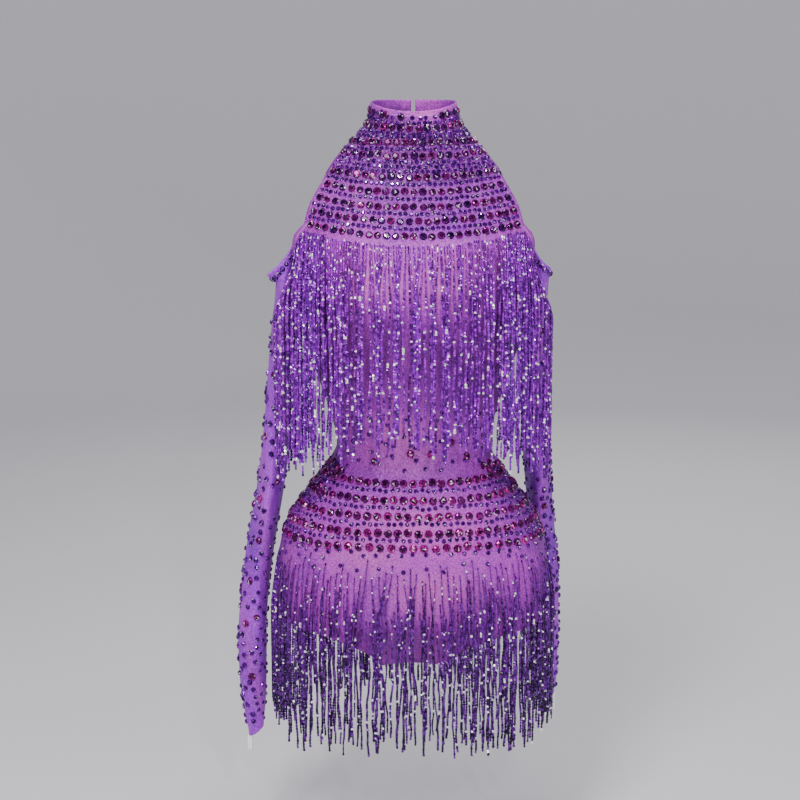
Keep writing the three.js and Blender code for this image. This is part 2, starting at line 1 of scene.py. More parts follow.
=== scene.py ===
import json
import math
from functools import partial
import bpy
import numpy as np
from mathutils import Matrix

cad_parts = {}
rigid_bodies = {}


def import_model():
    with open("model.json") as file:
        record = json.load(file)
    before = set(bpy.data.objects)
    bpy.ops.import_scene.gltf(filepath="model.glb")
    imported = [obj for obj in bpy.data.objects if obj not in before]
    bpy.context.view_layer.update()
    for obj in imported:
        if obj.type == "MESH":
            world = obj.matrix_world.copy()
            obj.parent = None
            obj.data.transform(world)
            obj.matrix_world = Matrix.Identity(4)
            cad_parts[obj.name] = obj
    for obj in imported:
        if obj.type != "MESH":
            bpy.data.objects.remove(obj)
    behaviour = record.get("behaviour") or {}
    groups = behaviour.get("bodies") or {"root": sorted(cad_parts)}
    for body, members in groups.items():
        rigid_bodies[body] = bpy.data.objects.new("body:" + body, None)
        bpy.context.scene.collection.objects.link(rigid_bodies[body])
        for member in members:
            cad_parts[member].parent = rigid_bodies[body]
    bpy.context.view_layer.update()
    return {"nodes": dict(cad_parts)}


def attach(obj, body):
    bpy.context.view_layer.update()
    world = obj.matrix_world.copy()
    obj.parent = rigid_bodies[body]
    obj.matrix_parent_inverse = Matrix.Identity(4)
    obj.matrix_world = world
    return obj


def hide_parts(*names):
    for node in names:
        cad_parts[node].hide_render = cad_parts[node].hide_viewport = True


# A rhinestone fringe jumpsuit, dressed on its CAD solids. Shapes are worked out in millimetres
# in the row frame (x to the wearer's left, y to the back, z up) and put into meshes in metres.
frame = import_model()
mm = 0.001
flip = np.array([-1, 1, 1])  # mirrors right and left
dice = np.random.default_rng(20)


# an object in the scene, at the origin and unturned
def addObject(name, data):
    thing = bpy.data.objects.new(name, data)
    bpy.context.collection.objects.link(thing)
    return thing


# camera

cameraView = {"place": (-0.016, -2.0, 0.05), "pitchDown": 10.9, "lens": 74.9, "sensor": 36.0}


# the camera looks along y, turned down from level by its pitch
def addCamera():
    data = bpy.data.cameras.new("photoCamera")
    data.lens = cameraView["lens"]
    data.sensor_width = cameraView["sensor"]
    camera = addObject("photoCamera", data)
    camera.location = cameraView["place"]
    camera.rotation_euler = (math.radians(90 - cameraView["pitchDown"]), 0, 0)
    bpy.context.scene.camera = camera


addCamera()
print("camera set")

# the general figure that the cloth is cut for

figure = {
    "height": [40, 13, 0, -10, -25, -32, -42, -55, -74, -95, -113, -135, -160, -205, -250, -300, -345,
               -388, -411, -441, -483, -510, -535, -590, -620, -700],
    "halfWidth": [48, 51, 55, 62, 76, 84, 97, 116, 140, 158, 162, 153, 142, 139, 130, 116, 101,
                  92, 103, 125, 153, 162, 166, 170, 170, 165],
    "front": [49, 49.6, 50, 51.5, 54, 56, 59, 62, 69, 80, 89, 101, 112, 122, 113, 96, 83,
              78, 82, 89, 96, 97, 97, 95, 92, 84],
    "back": [50, 51.4, 52, 55, 61, 66, 71, 79, 87, 93, 97, 99, 100, 98, 92, 84, 76,
             73, 80, 94, 112, 119, 122, 120, 112, 98],
    "squareness": 0.93,
    "cupAngle": 33, "cupHeight": -203, "cupSpreadAngle": 17, "cupSpreadHeight": 42, "cupRise": 6,
    "dipFrom": 590, "dipTo": 655, "dipDepth": 0.4, "dipSpreadAngle": 17,
}


# smooth line through places and values: a cubic whose slope at each place is the harmonic mean of
# the slopes either side, so that it never leaves the values' range
def smoothThrough(places, values, at):
    x, y = np.asarray(places, float), np.asarray(values, float)
    at = np.asarray(at, float)
    if x[0] > x[-1]:
        x, at = -x, -at
    slope = np.diff(y) / np.diff(x)
    tangent = np.zeros_like(y)
    before, after = slope[:-1], slope[1:]
    total = np.where(np.abs(before + after) > 1e-12, before + after, 1)
    tangent[1:-1] = np.where(before * after > 0, 2 * before * after / total, 0)
    at = np.clip(at, x[0], x[-1])
    i = np.clip(np.searchsorted(x, at) - 1, 0, len(x) - 2)
    span = x[i + 1] - x[i]
    t = (at - x[i]) / span
    return (
        (2 * t**3 - 3 * t**2 + 1) * y[i] + (t**3 - 2 * t**2 + t) * span * tangent[i]
        + (3 * t**2 - 2 * t**3) * y[i + 1] + (t**3 - t**2) * span * tangent[i + 1]
    )


# 0 up to low, 1 from high on, and a smooth cubic in between
def softStep(x, low, high):
    t = np.clip((x - low) / (high - low), 0, 1)
    return t * t * (3 - 2 * t)


# a bell of the distance from its middle
def bell(x, middle, reach):
    return np.exp(-(((x - middle) / reach) ** 2))


# columns side by side, as wide as the widest of them
def together(*columns):
    return np.stack(np.broadcast_arrays(*columns), axis=-1)


# angles that part a full turn equally
def turns(count):
    return np.linspace(0, 2 * np.pi, count, endpoint=False)


# a measure of the figure at a height, on the smooth line through its table
def figureAt(key, height):
    return smoothThrough(figure["height"], figure[key], height)


# point of the figure: x is half-width times sine of the angle, y is reach times its cosine, both
# to the power squareness; the front has two soft cups, and the cloth dips in between the legs
def figurePoint(side, angle, height):
    s, c = np.sin(np.radians(angle)), np.cos(np.radians(angle))
    reach = figureAt("front" if side < 0 else "back", height)
    depth = softStep(-height, figure["dipFrom"], figure["dipTo"]) * figure["dipDepth"]
    reach = reach * (1 - depth * bell(angle, 0, figure["dipSpreadAngle"]))
    if side < 0:
        across = bell(np.abs(angle), figure["cupAngle"], figure["cupSpreadAngle"])
        down = bell(height, figure["cupHeight"], figure["cupSpreadHeight"])
        reach = reach + figure["cupRise"] * across * down
    power = figure["squareness"]
    x = np.sign(s) * np.abs(s) ** power * figureAt("halfWidth", height)
    y = side * reach * np.clip(c, 0, 1) ** power
    return together(x, y, height)


# meshes from whole arrays

# a piece in metres from points in millimetres, with values for each point or face, on the one body
def addPiece(name, points, faces, material, node=None, flat=False, values={}, faceValues={}, uv=None):
    points = np.asarray(points, np.float64).reshape(-1, 3) * mm
    size = faces.shape[1]
    mesh = bpy.data.meshes.new(name)
    mesh.vertices.add(len(points))
    mesh.vertices.foreach_set("co", points.astype(np.float32).ravel())
    mesh.loops.add(faces.size)
    mesh.loops.foreach_set("vertex_index", faces.astype(np.int32).ravel())
    mesh.polygons.add(len(faces))
    mesh.polygons.foreach_set("loop_start", np.arange(0, faces.size, size, dtype=np.int32))
    mesh.polygons.foreach_set("loop_total", np.full(len(faces), size, dtype=np.int32))
    mesh.polygons.foreach_set("use_smooth", np.full(len(faces), not flat))
    mesh.update(calc_edges=True)
    for domain, table in (("POINT", values), ("FACE", faceValues)):
        for key, value in table.items():
            layer = mesh.attributes.new(key, "FLOAT", domain)
            layer.data.foreach_set("value", np.asarray(value, np.float32).ravel())
    if uv is not None:
        layer = mesh.uv_layers.new(name="UVMap")
        layer.data.foreach_set("uv", np.asarray(uv, np.float32).reshape(-1, 2)[faces.ravel()].ravel())
    mesh.validate()
    mesh.materials.append(material)
    piece = addObject(name, mesh)
    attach(piece, "root")
    if node:
        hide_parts(node)


# quads of a grid of points, each from its upper left corner down, across and up again
def gridFaces(rows, columns, wrap=False):
    r = np.arange(rows - 1)[:, None]
    c = np.arange(columns if wrap else columns - 1)[None, :]
    d = (c + 1) % columns
    below = (r + 1) * columns
    return together(r * columns + c, below + c, below + d, r * columns + d).reshape(-1, 4)


# how a grid of points faces: the cross product of its steps across and down, turned outwards
def gridNormals(points, turn, wrap=False):
    if wrap:
        padded = np.concatenate([points[:, -1:], points, points[:, :1]], axis=1)
        across = (padded[:, 2:] - padded[:, :-2]) / 2
    else:
        across = np.gradient(points, axis=1)
    normal = -turn * np.cross(across, np.gradient(points, axis=0))
    return normal / np.maximum(np.linalg.norm(normal, axis=-1, keepdims=True), 1e-9)


# distances between neighbours along one axis of a grid
def stepLengths(points, axis=0):
    return np.linalg.norm(np.diff(points, axis=axis), axis=-1)


cloth = {"outer": 1.2, "thickness": 0.8, "hemWidth": 6.5, "hemEdge": 1.2,
         "stitchAt": 0.85, "stitchWidth": 0.7}
hemRise, seamRise = 0.45, 0.25


# one sheet of cloth as a closed thin shell: the outer face is the form moved out, lower in the
# troughs and higher along the hems, and the inner face lies one thickness inside it
def clothShell(name, node, form, turn, relief, hems, pale, material, wrap=False):
    s = np.pad(np.cumsum(stepLengths(form, 1), axis=1), ((0, 0), (1, 0)))
    t = np.pad(np.cumsum(stepLengths(form), axis=0), ((1, 0), (0, 0)))
    fromEdge = {"left": s, "right": s[:, -1:] - s, "top": t, "bottom": t[-1:] - t}
    hem, stitch, width = np.zeros(s.shape), np.zeros(s.shape), cloth["hemWidth"]
    for edge, rise in hems.items():
        hem = np.maximum(hem, rise * (1 - softStep(fromEdge[edge], width - cloth["hemEdge"], width)))
        stitch = np.maximum(stitch, bell(fromEdge[edge], width * cloth["stitchAt"], cloth["stitchWidth"]))
    normal = gridNormals(form, turn, wrap)
    outer = form + normal * (cloth["outer"] + relief + hem)[..., None]
    inner = outer - normal * (cloth["thickness"] + hem)[..., None]
    rows, columns = s.shape
    total, low = rows * columns, (rows - 1) * columns
    c = np.arange(columns if wrap else columns - 1)
    d = (c + 1) % columns
    rim = [(c, d), (low + d, low + c)]
    if not wrap:
        r = np.arange(rows - 1) * columns
        rim += [(r + columns, r), (r + columns - 1, r + 2 * columns - 1)]
    grid = gridFaces(rows, columns, wrap)
    rim = [together(a, b, b + total, a + total) for a, b in rim]
    faces = np.concatenate([grid, grid[:, ::-1] + total, *rim])
    uv = together(s - s[:, -1:] / 2, -t) * mm
    # pale carries paler thin cloth and painted highlights above 0, and painted shade and double cloth below 0
    addPiece(name, [outer, inner], faces[:, ::-1] if turn < 0 else faces, material, node,
             values={"stitch": [stitch, stitch], "pale": [pale, pale]}, uv=[uv, uv])
    print(f"{name}: {s.max():.0f} by {t.max():.0f} mm")


# paler where the cloth is stretched thin, and painted highlights: soft spots, each (x, z, reach across, reach
# down)
def paleAndHighlightSpots(spots, across, height):
    pale = np.zeros(np.broadcast(across, height).shape)
    for x, z, wide, tall in spots:
        pale = np.maximum(pale, np.exp(-(((across - x) / wide) ** 2) - ((height - z) / tall) ** 2))
    return pale


# bands of painted shade between the stones and under the fringe, each (lowest z, highest z, strength), with
# soft ends
def paintedShadeBands(bands, height):
    return sum(strength * softStep(height, low - 7, low + 3) * (1 - softStep(height, high - 3, high + 7))
               for low, high, strength in bands)


# soft troughs and ridges placed one by one: each is a bell across its line, fading at both ends
def creaseRelief(creases, across, height):
    relief = np.zeros(np.broadcast(across, height).shape)
    for x, z, tilt, length, width, depth in creases:
        c, s = math.cos(math.radians(tilt)), math.sin(math.radians(tilt))
        along = (across - x) * c + (height - z) * s
        off = -(across - x) * s + (height - z) * c
        relief -= depth * bell(off, 0, width) * np.exp(-((along / length) ** 4))
    return relief


# materials

# a material's node tree, with short ways to add to it
class Paint:
    def __init__(self, name):
        self.material = bpy.data.materials.new(name)
        self.material.use_nodes = True
        tree = self.material.node_tree
        self.nodes, self.links, self.shader = tree.nodes, tree.links, tree.nodes["Principled BSDF"]

    def add(self, kind, **values):
        node = self.nodes.new(kind)
        for key, value in values.items():
            if hasattr(node, key):
                setattr(node, key, value)
            else:
                node.inputs[key].default_value = value
        return node

    def attribute(self, name):
        return self.add("ShaderNodeAttribute", attribute_name=name).outputs["Fac"]

    def noise(self, **values):
        node = self.add("ShaderNodeTexNoise", **values)
        self.links.new(self.add("ShaderNodeTexCoord").outputs["Object"], node.inputs["Vector"])
        return node.outputs["Fac"]

    def reRange(self, value, low, high, newLow, newHigh):
        node = self.add("ShaderNodeMapRange", **{
            "From Min": low, "From Max": high, "To Min": newLow, "To Max": newHigh})
        self.links.new(value, node.inputs["Value"])
        return node.outputs["Result"]

    def mix(self, *given):
        node = self.add("ShaderNodeMix", data_type="RGBA")
        for socket, value in zip((node.inputs[0], node.inputs[6], node.inputs[7]), given):
            if isinstance(value, bpy.types.NodeSocket):
                self.links.new(value, socket)
            else:
                socket.default_value = value
        return node.outputs[2]

    # each layer is (value, low, high, share, colour): its colour covers what is below by nothing
    # where the value is low, and by the share where it is high
    def layers(self, base, *layers):
        for value, low, high, share, colour in layers:
            base = self.mix(self.reRange(value, low, high, 0.0, share), base, colour)
        return base

    def finish(self, base, **values):
        self.links.new(base, self.shader.inputs["Base Color"])
        for key, value in values.items():
            self.shader.inputs[key.replace("_", " ")].default_value = value
        return self.material


# cloth colours: the thin colour serves for thin cloth and painted highlights, the darkest for double cloth
# and painted shade
meshLook = {
    "thin": (0.72, 0.13, 0.56, 1), "deepClothAndShade": (0.052, 0.0007, 0.108, 1),
    "hole": (0.06, 0.0015, 0.17, 1), "thread": (0.80, 0.25, 0.86, 1),
    "netScale": 230, "driftScale": 9, "fleckScale": 520, "grainScale": 1100, "roughness": 0.55,
}


# stretch mesh: two crossing sets of fine bands for the net, bright and dark flecks where threads
# bunch, slow drifts of colour, paler cloth where it is stretched thin and painted highlights (pale
# above 0), and darker cloth where it lies double and painted shade between stones, under fringe and at the
# sides (pale below 0)
def makeMeshCloth(name, deep, lilac):
    paint, look = Paint(name), meshLook
    uv = paint.add("ShaderNodeUVMap", uv_map="UVMap").outputs[0]
    drift, fleck, grain = [
        paint.noise(Scale=look[key], Detail=detail, Roughness=0.65)
        for key, detail in (("driftScale", 4.0), ("fleckScale", 3.0), ("grainScale", 1.0))]
    net = paint.add("ShaderNodeMath", operation="MULTIPLY")
    for i, direction in enumerate("XY"):
        wave = paint.add("ShaderNodeTexWave", bands_direction=direction, Scale=look["netScale"])
        paint.links.new(uv, wave.inputs["Vector"])
        paint.links.new(wave.outputs["Fac"], net.inputs[i])
    net, pale = net.outputs[0], paint.attribute("pale")
    # above 0 the pale attribute paints thin cloth and highlights, below 0 it paints shade and double cloth
    base = paint.layers(
        deep, (drift, 0.35, 0.62, 1.0, lilac), (pale, 0, -1, 0.9, look["deepClothAndShade"]),
        (pale, 0, 1, 0.74, look["thin"]), (net, 0.15, 0.75, 0.35, look["hole"]),
        (fleck, 0.52, 0.66, 0.42, look["thread"]), (fleck, 0.47, 0.34, 0.65, look["hole"]),
        (grain, 0.5, 0.7, 0.3, look["thread"]),
        (paint.attribute("stitch"), 0.4, 1.0, 0.6, look["thread"]),
    )
    bump = paint.add("ShaderNodeBump", Strength=0.4, Distance=0.0004)
    fine = paint.add("ShaderNodeBump", Strength=0.3, Distance=0.0003)
    for source, socket in (
        (fleck, bump.inputs["Height"]), (net, fine.inputs["Height"]),
        (bump.outputs[0], fine.inputs["Normal"]), (fine.outputs[0], paint.shader.inputs["Normal"]),
    ):
        paint.links.new(source, socket)
    return paint.finish(base, Roughness=look["roughness"], Sheen_Weight=0.06, Sheen_Roughness=0.4,
                        Sheen_Tint=(0.7, 0.3, 1, 1), Specular_IOR_Level=0.2)


# cut glass: each stone has a tint, each facet a painted reflection from dark to bright, and the
# brightest facets are painted glints
def makeStoneGlass(name, dark, middle, bright, glint):
    paint = Paint(name)
    facetPaintedLight, cloudy = paint.attribute("facetPaintedLight"), paint.noise(Scale=420.0, Detail=1.0)
    body = paint.mix(paint.attribute("tint"), middle, bright)
    # facets take the dark colour as painted reflection, the body colour, or the glint colour as a painted
    # glint
    base = paint.layers(dark, (facetPaintedLight, 0.18, 0.92, 1.0, body), (facetPaintedLight, 0.95, 0.96, 1.0, glint),
                        (cloudy, 0.4, 0.7, 0.3, dark))
    return paint.finish(base, Metallic=0.5, Roughness=0.13, Coat_Weight=0.04, Coat_Roughness=0.03,
                        Specular_IOR_Level=0.22)


# strings of small cut beads: along runs from 0 at the root to 1 at the end, each string has its own
# shade and each bead its tint; higher tints mix in painted highlights, and the highest are white painted
# glints
def makeBeadStrings(name, top, bottom, dark, light, paintedSparkFrom):
    paint = Paint(name)
    along, tint, shade = [paint.attribute(key) for key in ("along", "tint", "shade")]
    base = paint.layers(
        top, (along, 0.1, 0.9, 1.0, bottom), (shade, 0.55, 0.0, 0.8, dark), (tint, 0.4, 0.0, 0.8, dark),
        (tint, 0.55, 0.8, 0.6, light), (tint, paintedSparkFrom, paintedSparkFrom + 0.01, 1.0, (1, 1, 1, 1)))
    return paint.finish(base, Metallic=0.25, Roughness=0.22, Coat_Weight=0.08, Coat_Roughness=0.05,
                        Specular_IOR_Level=0.3)


# clear elastic with fine milky streaks
def makeElastic():
    paint = Paint("clearElastic")
    base = paint.mix(paint.noise(Scale=260.0, Detail=2.0), (0.95, 0.95, 0.98, 1), (1, 1, 1, 1))
    return paint.finish(base, Roughness=0.35, IOR=1.4)


# plated metal whose grain shows in its shade and its roughness
def makeHookMetal():
    paint = Paint("platedHook")
    grain = paint.noise(Scale=900.0, Detail=2.0)
    paint.links.new(paint.reRange(grain, 0.3, 0.7, 0.22, 0.42), paint.shader.inputs["Roughness"])
    base = paint.mix(grain, (0.5, 0.5, 0.52, 1), (0.68, 0.68, 0.7, 1))
    return paint.finish(base, Metallic=1.0)


lilacMesh = makeMeshCloth("lilacMesh", (0.25, 0.007, 0.43, 1), (0.54, 0.032, 0.60, 1))
violetMesh = makeMeshCloth("violetMesh", (0.20, 0.004, 0.56, 1), (0.42, 0.020, 0.84, 1))
# stone glass: the dark colour is the facets' painted dark reflection and the glass's deep colour, the middle
# and bright colours the glass's own, and the last colour a painted glint
magentaGlass = makeStoneGlass("magentaGlass", (0.020, 0.0002, 0.026, 1), (0.21, 0.0006, 0.22, 1),
                              (0.84, 0.001, 0.50, 1), (1.0, 0.8, 0.96, 1))
# a darker copy of the magenta glass for the large stones of the yoke and collar: partly the stones' own plum
# colour, partly painted shade
plumAndShadedGlass = makeStoneGlass("plumAndShadedGlass", (0.007, 0.0002, 0.020, 1), (0.095, 0.0006, 0.21, 1),
                           (0.50, 0.001, 0.34, 1), (1.0, 0.82, 1.0, 1))
violetGlass = makeStoneGlass("violetGlass", (0.016, 0.0004, 0.06, 1), (0.16, 0.002, 0.42, 1),
                             (0.52, 0.014, 0.84, 1), (0.94, 0.84, 1.0, 1))
# the fourth colour of each is a painted highlight, and tints above the last number are white beads painted as
# glints
chestBeads = makeBeadStrings("violetBeads", (0.27, 0.006, 0.50, 1), (0.25, 0.004, 0.50, 1),
                             (0.018, 0.0004, 0.055, 1), (0.58, 0.03, 0.90, 1), 0.92)
sideBeads = makeBeadStrings("deepVioletBeads", (0.22, 0.005, 0.46, 1), (0.17, 0.004, 0.42, 1),
                            (0.018, 0.0005, 0.06, 1), (0.46, 0.03, 0.84, 1), 0.95)
hipBeads = makeBeadStrings("indigoBeads", (0.15, 0.005, 0.30, 1), (0.028, 0.0012, 0.075, 1),
                           (0.007, 0.0004, 0.022, 1), (0.25, 0.02, 0.48, 1), 0.94)
clearElastic = makeElastic()
platedHook = makeHookMetal()
print("materials made")

# body panels

frontPanel = {
    "paintedSideShade": 0.55, "side": -1, "top": -25, "bottom": -650, "rows": 150, "columns": 90,
    "height": [-25, -40, -61, -78, -102, -126, -142, -154, -160, -600, -606, -614, -632, -650],
    "angle": [90, 74, 60, 52, 49, 50, 63, 76, 90, 90, 56, 33, 18, 12.5],
    "lift": [0, 4, 10, 15, 20, 23, 15, 6, 0, 0, 0, 0, 0, 0],
    # x, z, tilt, length, width, depth of each trough (a negative depth is a ridge)
    "creases": [
        (-8, -33, 3, 34, 2.6, 1.1), (18, -41, -6, 28, 3.0, 0.9), (-30, -47, 9, 24, 2.4, 0.8),
        (-62, -352, 24, 34, 5, 1.0), (58, -340, -20, 42, 6, 1.2), (-40, -376, 12, 46, 5, 1.1),
        (22, -390, -7, 52, 6, 1.2), (-70, -402, 30, 26, 4, 0.9), (66, -398, -33, 30, 4, 1.0),
        (-18, -364, 5, 30, 4, -0.8), (96, -520, -52, 40, 7, 1.0), (-104, -512, 48, 46, 8, 1.1),
        (-34, -598, 38, 36, 5, 1.2), (38, -604, -42, 32, 5, 1.1), (0, -570, 90, 44, 7, 0.8),
        (84, -576, -30, 34, 6, 0.9), (-88, -580, 34, 30, 6, 0.8),
    ],
    # paler spots of thin cloth and painted highlights, then bands of painted shade between stones and under
    # the fringe
    "pale": [(-8, -350, 46, 70), (-54, -500, 48, 36), (20, -548, 60, 30), (26, -480, 56, 22),
             (34, -180, 62, 60), (-40, -178, 40, 46), (0, -470, 80, 34)],
    "deepClothAndShade": [(-66, 0, 0.8), (-132, -66, 0.4), (-335, -196, 0.42), (-500, -414, 0.12)],
}
backPanel = {
    "paintedSideShade": 0.4, "side": 1, "top": -25, "bottom": -650, "rows": 140, "columns": 46,
    "height": [-25, -40, -61, -82, -102, -126, -142, -154, -160, -600, -610, -622, -636, -650],
    "angle": [90, 72, 56, 48, 47, 54, 66, 79, 90, 90, 58, 38, 22, 12.5],
    "lift": [0] * 14,
    "openingTop": -30, "openingLength": 215, "openingHalfWidth": 46, "napeAngle": 2.2,
    "creases": [
        (30, -300, 74, 40, 6, 1.1), (18, -346, 10, 34, 5, 1.2), (44, -372, -12, 38, 5, 1.1),
        (26, -392, 6, 40, 5, 1.2), (70, -388, -28, 26, 4, 0.9), (58, -330, 22, 30, 5, -0.8),
        (90, -500, 46, 40, 8, 1.0), (40, -596, -38, 34, 6, 1.2), (92, -574, -24, 34, 6, 1.0),
        (66, -220, 66, 34, 6, 0.8), (84, -262, 38, 40, 7, 1.3), (36, -262, 82, 36, 6, 1.2),
        (74, -326, -24, 36, 6, 1.3), (22, -318, 64, 30, 5, 1.2), (60, -404, 8, 44, 5, 1.1),
        (48, -436, -74, 30, 7, 0.8), (70, -548, 58, 42, 8, 1.3), (30, -560, 84, 36, 7, 1.1),
    ],
    # paler spots of thin cloth and painted highlights, and a band of painted shade among the hip stones
    "pale": [(50, -545, 60, 60), (30, -350, 40, 60), (60, -240, 30, 50)],
    "deepClothAndShade": [(-500, -414, 0.3)],
}
seamGap = 0.3


# a panel's edge: the angle of its line, less half of the seam's gap
def edgeAngle(panel, height):
    seam = np.degrees(seamGap / 2 / figureAt("back", height))
    return smoothThrough(panel["height"], panel["angle"], height) - seam


# the back opening is a drop: its half-width is a sine of the share of its length, and above it the
# two edges stand a little apart at the nape
def openingAngle(height):
    down = np.clip((backPanel["openingTop"] - height) / backPanel["openingLength"], 0, 1)
    half = seamGap / 2 + backPanel["openingHalfWidth"] * np.sin(np.pi * down**1.25) ** 0.75
    atNape = np.where(height > backPanel["openingTop"], backPanel["napeAngle"], 0)
    turned = np.degrees(np.arcsin(np.clip(half / figureAt("halfWidth", height), -1, 1)))
    return np.maximum(turned, atNape)


# panel point for a share u across and a height: the angle runs between the panel's two edges, and
# the row rises to its sides by the lift times the sine squared of the angle
def panelPoint(panel, u, height):
    outer = edgeAngle(panel, height)
    start = -outer if panel["side"] < 0 else openingAngle(height)
    angle = start + (outer - start) * u
    lift = smoothThrough(panel["height"], panel["lift"], height) * np.sin(np.radians(angle)) ** 2
    return figurePoint(panel["side"], angle, height + lift)


# places, reaches and strengths at which the rows crowd: the armhole's foot, the leg edge, the neck
# seam and the fullest height
crowding = [(-150, 16, 3), (-610, 16, 2.5), (-36, 14, 1.2), (-240, 10, 1.5)]
bodyHems = {"left": hemRise, "right": hemRise, "top": seamRise, "bottom": seamRise}
# shares of the half-width and depths below the top over which painted shade darkens the sides
paintedSideShadeReach = {"share": (0.78, 1.0), "below": (150, 190)}


# row heights: equal steps of a sum that grows faster where the rows crowd
def panelHeights(panel):
    height = panel["top"] + (panel["bottom"] - panel["top"]) * np.linspace(0, 1, 4000)
    walk = np.cumsum(1 + sum(more * bell(height, at, reach) for at, reach, more in crowding))
    return np.interp(np.linspace(walk[0], walk[-1], panel["rows"]), walk, height)


# a panel's cloth is paler in its spots (thin cloth and painted highlights), and darker in its bands and
# towards its sides (painted shade)
def addBodyPanel(name, node, panel, mirror):
    height = panelHeights(panel)[:, None]
    form = panelPoint(panel, np.linspace(0, 1, panel["columns"])[None, :], height)
    x, z = form[..., 0], form[..., 2]
    pale = paleAndHighlightSpots(panel["pale"], x, z) - paintedShadeBands(panel["deepClothAndShade"], height)
    # painted shade: darker towards the sides, below the chest
    sides = softStep(np.abs(x) / figureAt("halfWidth", height), *paintedSideShadeReach["share"])
    pale = pale - panel["paintedSideShade"] * sides * softStep(-height, *paintedSideShadeReach["below"])
    turn = -panel["side"] * (-1 if mirror else 1)
    clothShell(name, node, form * flip if mirror else form, turn, creaseRelief(panel["creases"], x, z),
               bodyHems, pale, lilacMesh)


addBodyPanel("frontCloth", "front", frontPanel, False)
addBodyPanel("backLeftCloth", "back_left", backPanel, False)
addBodyPanel("backRightCloth", "back_right", backPanel, True)

gusset = {"rows": 26, "columns": 22, "drop": 15, "lift": 3, "pale": [(0, 0, 30, 30)],
          "creases": [(6, 0, 80, 30, 5, 0.7), (-14, 20, 100, 24, 4, 0.6)]}


# the gusset is a saddle: straight lines from the front's lowest edge to the backs', sagging by a sine
def addGusset():
    u = np.linspace(0, 1, gusset["columns"])[None, :]
    v = np.linspace(0, 1, gusset["rows"])[:, None]
    across = 2 * u - 1
    start = panelPoint(frontPanel, u, frontPanel["bottom"])
    end = panelPoint(backPanel, np.abs(across), backPanel["bottom"])
    end[..., 0] *= np.sign(across)
    form = start * (1 - v[..., None]) + end * v[..., None]
    sag = gusset["drop"] * np.sin(np.pi * v) ** 0.8 - gusset["lift"] * across**2 * v * (1 - v)
    form[..., 2] -= 2 * seamGap + sag
    x, y = form[..., 0], form[..., 1]
    clothShell("gussetCloth", "gusset", form, 1, creaseRelief(gusset["creases"], x, y),
               {"left": hemRise, "right": hemRise}, paleAndHighlightSpots(gusset["pale"], x, y), lilacMesh)


addGusset()

collar = {
    "sideTop": 26, "frontDip": 12, "bottom": -24.1, "napeAngle": 2.2, "rows": 22, "columns": 150,
    # a paler spot of thin cloth and painted highlight, and below the top hem darker cloth: double cloth and
    # painted shade
    "pale": [(18, 8, 26, 12)], "deepClothAndShade": 1.0, "deepClothAndShadeFrom": (0.1, 0.24),
    "creases": [(-20, -8, 4, 26, 2.4, 0.7), (16, -16, -6, 30, 2.6, 0.8), (-6, 4, 3, 18, 2.2, 0.5)],
}


# collar point: round from the nape, between a top edge that dips at the front and the neck seam
def collarPoint(u, v):
    fromNape = np.radians(collar["napeAngle"] + u * (360 - 2 * collar["napeAngle"]))
    facing = (1 - np.cos(fromNape)) / 2
    top = collar["sideTop"] - collar["frontDip"] * facing**3
    height = top * (1 - v) + collar["bottom"] * v
    angle = np.degrees(np.arcsin(np.sin(fromNape)))
    back, front = figurePoint(1, angle, height), figurePoint(-1, angle, height)
    return np.where(np.cos(fromNape)[..., None] < 0, front, back)


# the collar's cloth has creases in front only, and is darker below its top hem: deeper double cloth and
# painted shade between the stones
def addCollar():
    u, v = np.meshgrid(np.linspace(0, 1, collar["columns"]), np.linspace(0, 1, collar["rows"]))
    form = collarPoint(u, v)
    x, y, z = np.moveaxis(form, -1, 0)
    relief = np.where(y < 0, creaseRelief(collar["creases"], x, z), 0)
    pale = paleAndHighlightSpots(collar["pale"], x, z) - collar["deepClothAndShade"] * softStep(v, *collar["deepClothAndShadeFrom"])
    clothShell("collarCloth", "collar", form, -1, relief,
               {"top": hemRise, "left": hemRise, "right": hemRise}, pale, lilacMesh)


addCollar()
print("body panels made")

# sleeves

rightSleeve = {
    "name": "sleeveRightCloth", "node": "sleeve_right", "turn": 1,
    "height": [-181, -191, -206, -235, -300, -385, -450, -510, -575, -642, -700, -735, -760, -776],
    "x": [-160.5, -155, -155.5, -158, -163, -170, -178, -188, -197, -202, -203, -202, -201, -200.5],
    "y": [14, 14, 15, 17, 19, 20, 20, 20, 20, 20, 20, 20, 20, 20],
    "halfWidth": [15.5, 10.5, 11, 12.5, 15, 15.5, 15.5, 16, 16, 16.5, 15.5, 13, 10, 8],
    "halfDepth": [36, 40, 42, 42, 40, 38, 37, 36, 35, 34, 28, 19, 11, 7],
    "rise": [38, 28, 17, 6, 0, 0, 0, 0, 0, 0, 2, 6, 10, 12],
    # turn in degrees, z, tilt, length, width, depth of each trough
    "creases": [
        (-70, -250, 82, 60, 5, 1.6), (-110, -330, 96, 80, 6, 1.8), (-40, -420, 78, 70, 5, 1.5),
        (-95, -440, 20, 22, 5, 1.6), (-80, -462, -14, 20, 5, 1.5), (-110, -482, 10, 24, 5, 1.4),
        (-60, -560, 100, 60, 5, 1.6), (-100, -640, 84, 50, 5, 1.5), (-85, -690, 12, 16, 4, 1.2),
        (70, -280, 96, 70, 6, 1.7), (110, -400, 82, 60, 5, 1.5), (80, -470, 16, 24, 5, 1.5),
        (60, -560, 80, 70, 5, 1.5), (100, -650, 98, 50, 5, 1.4), (180, -520, 90, 60, 5, 1.2),
    ],
}
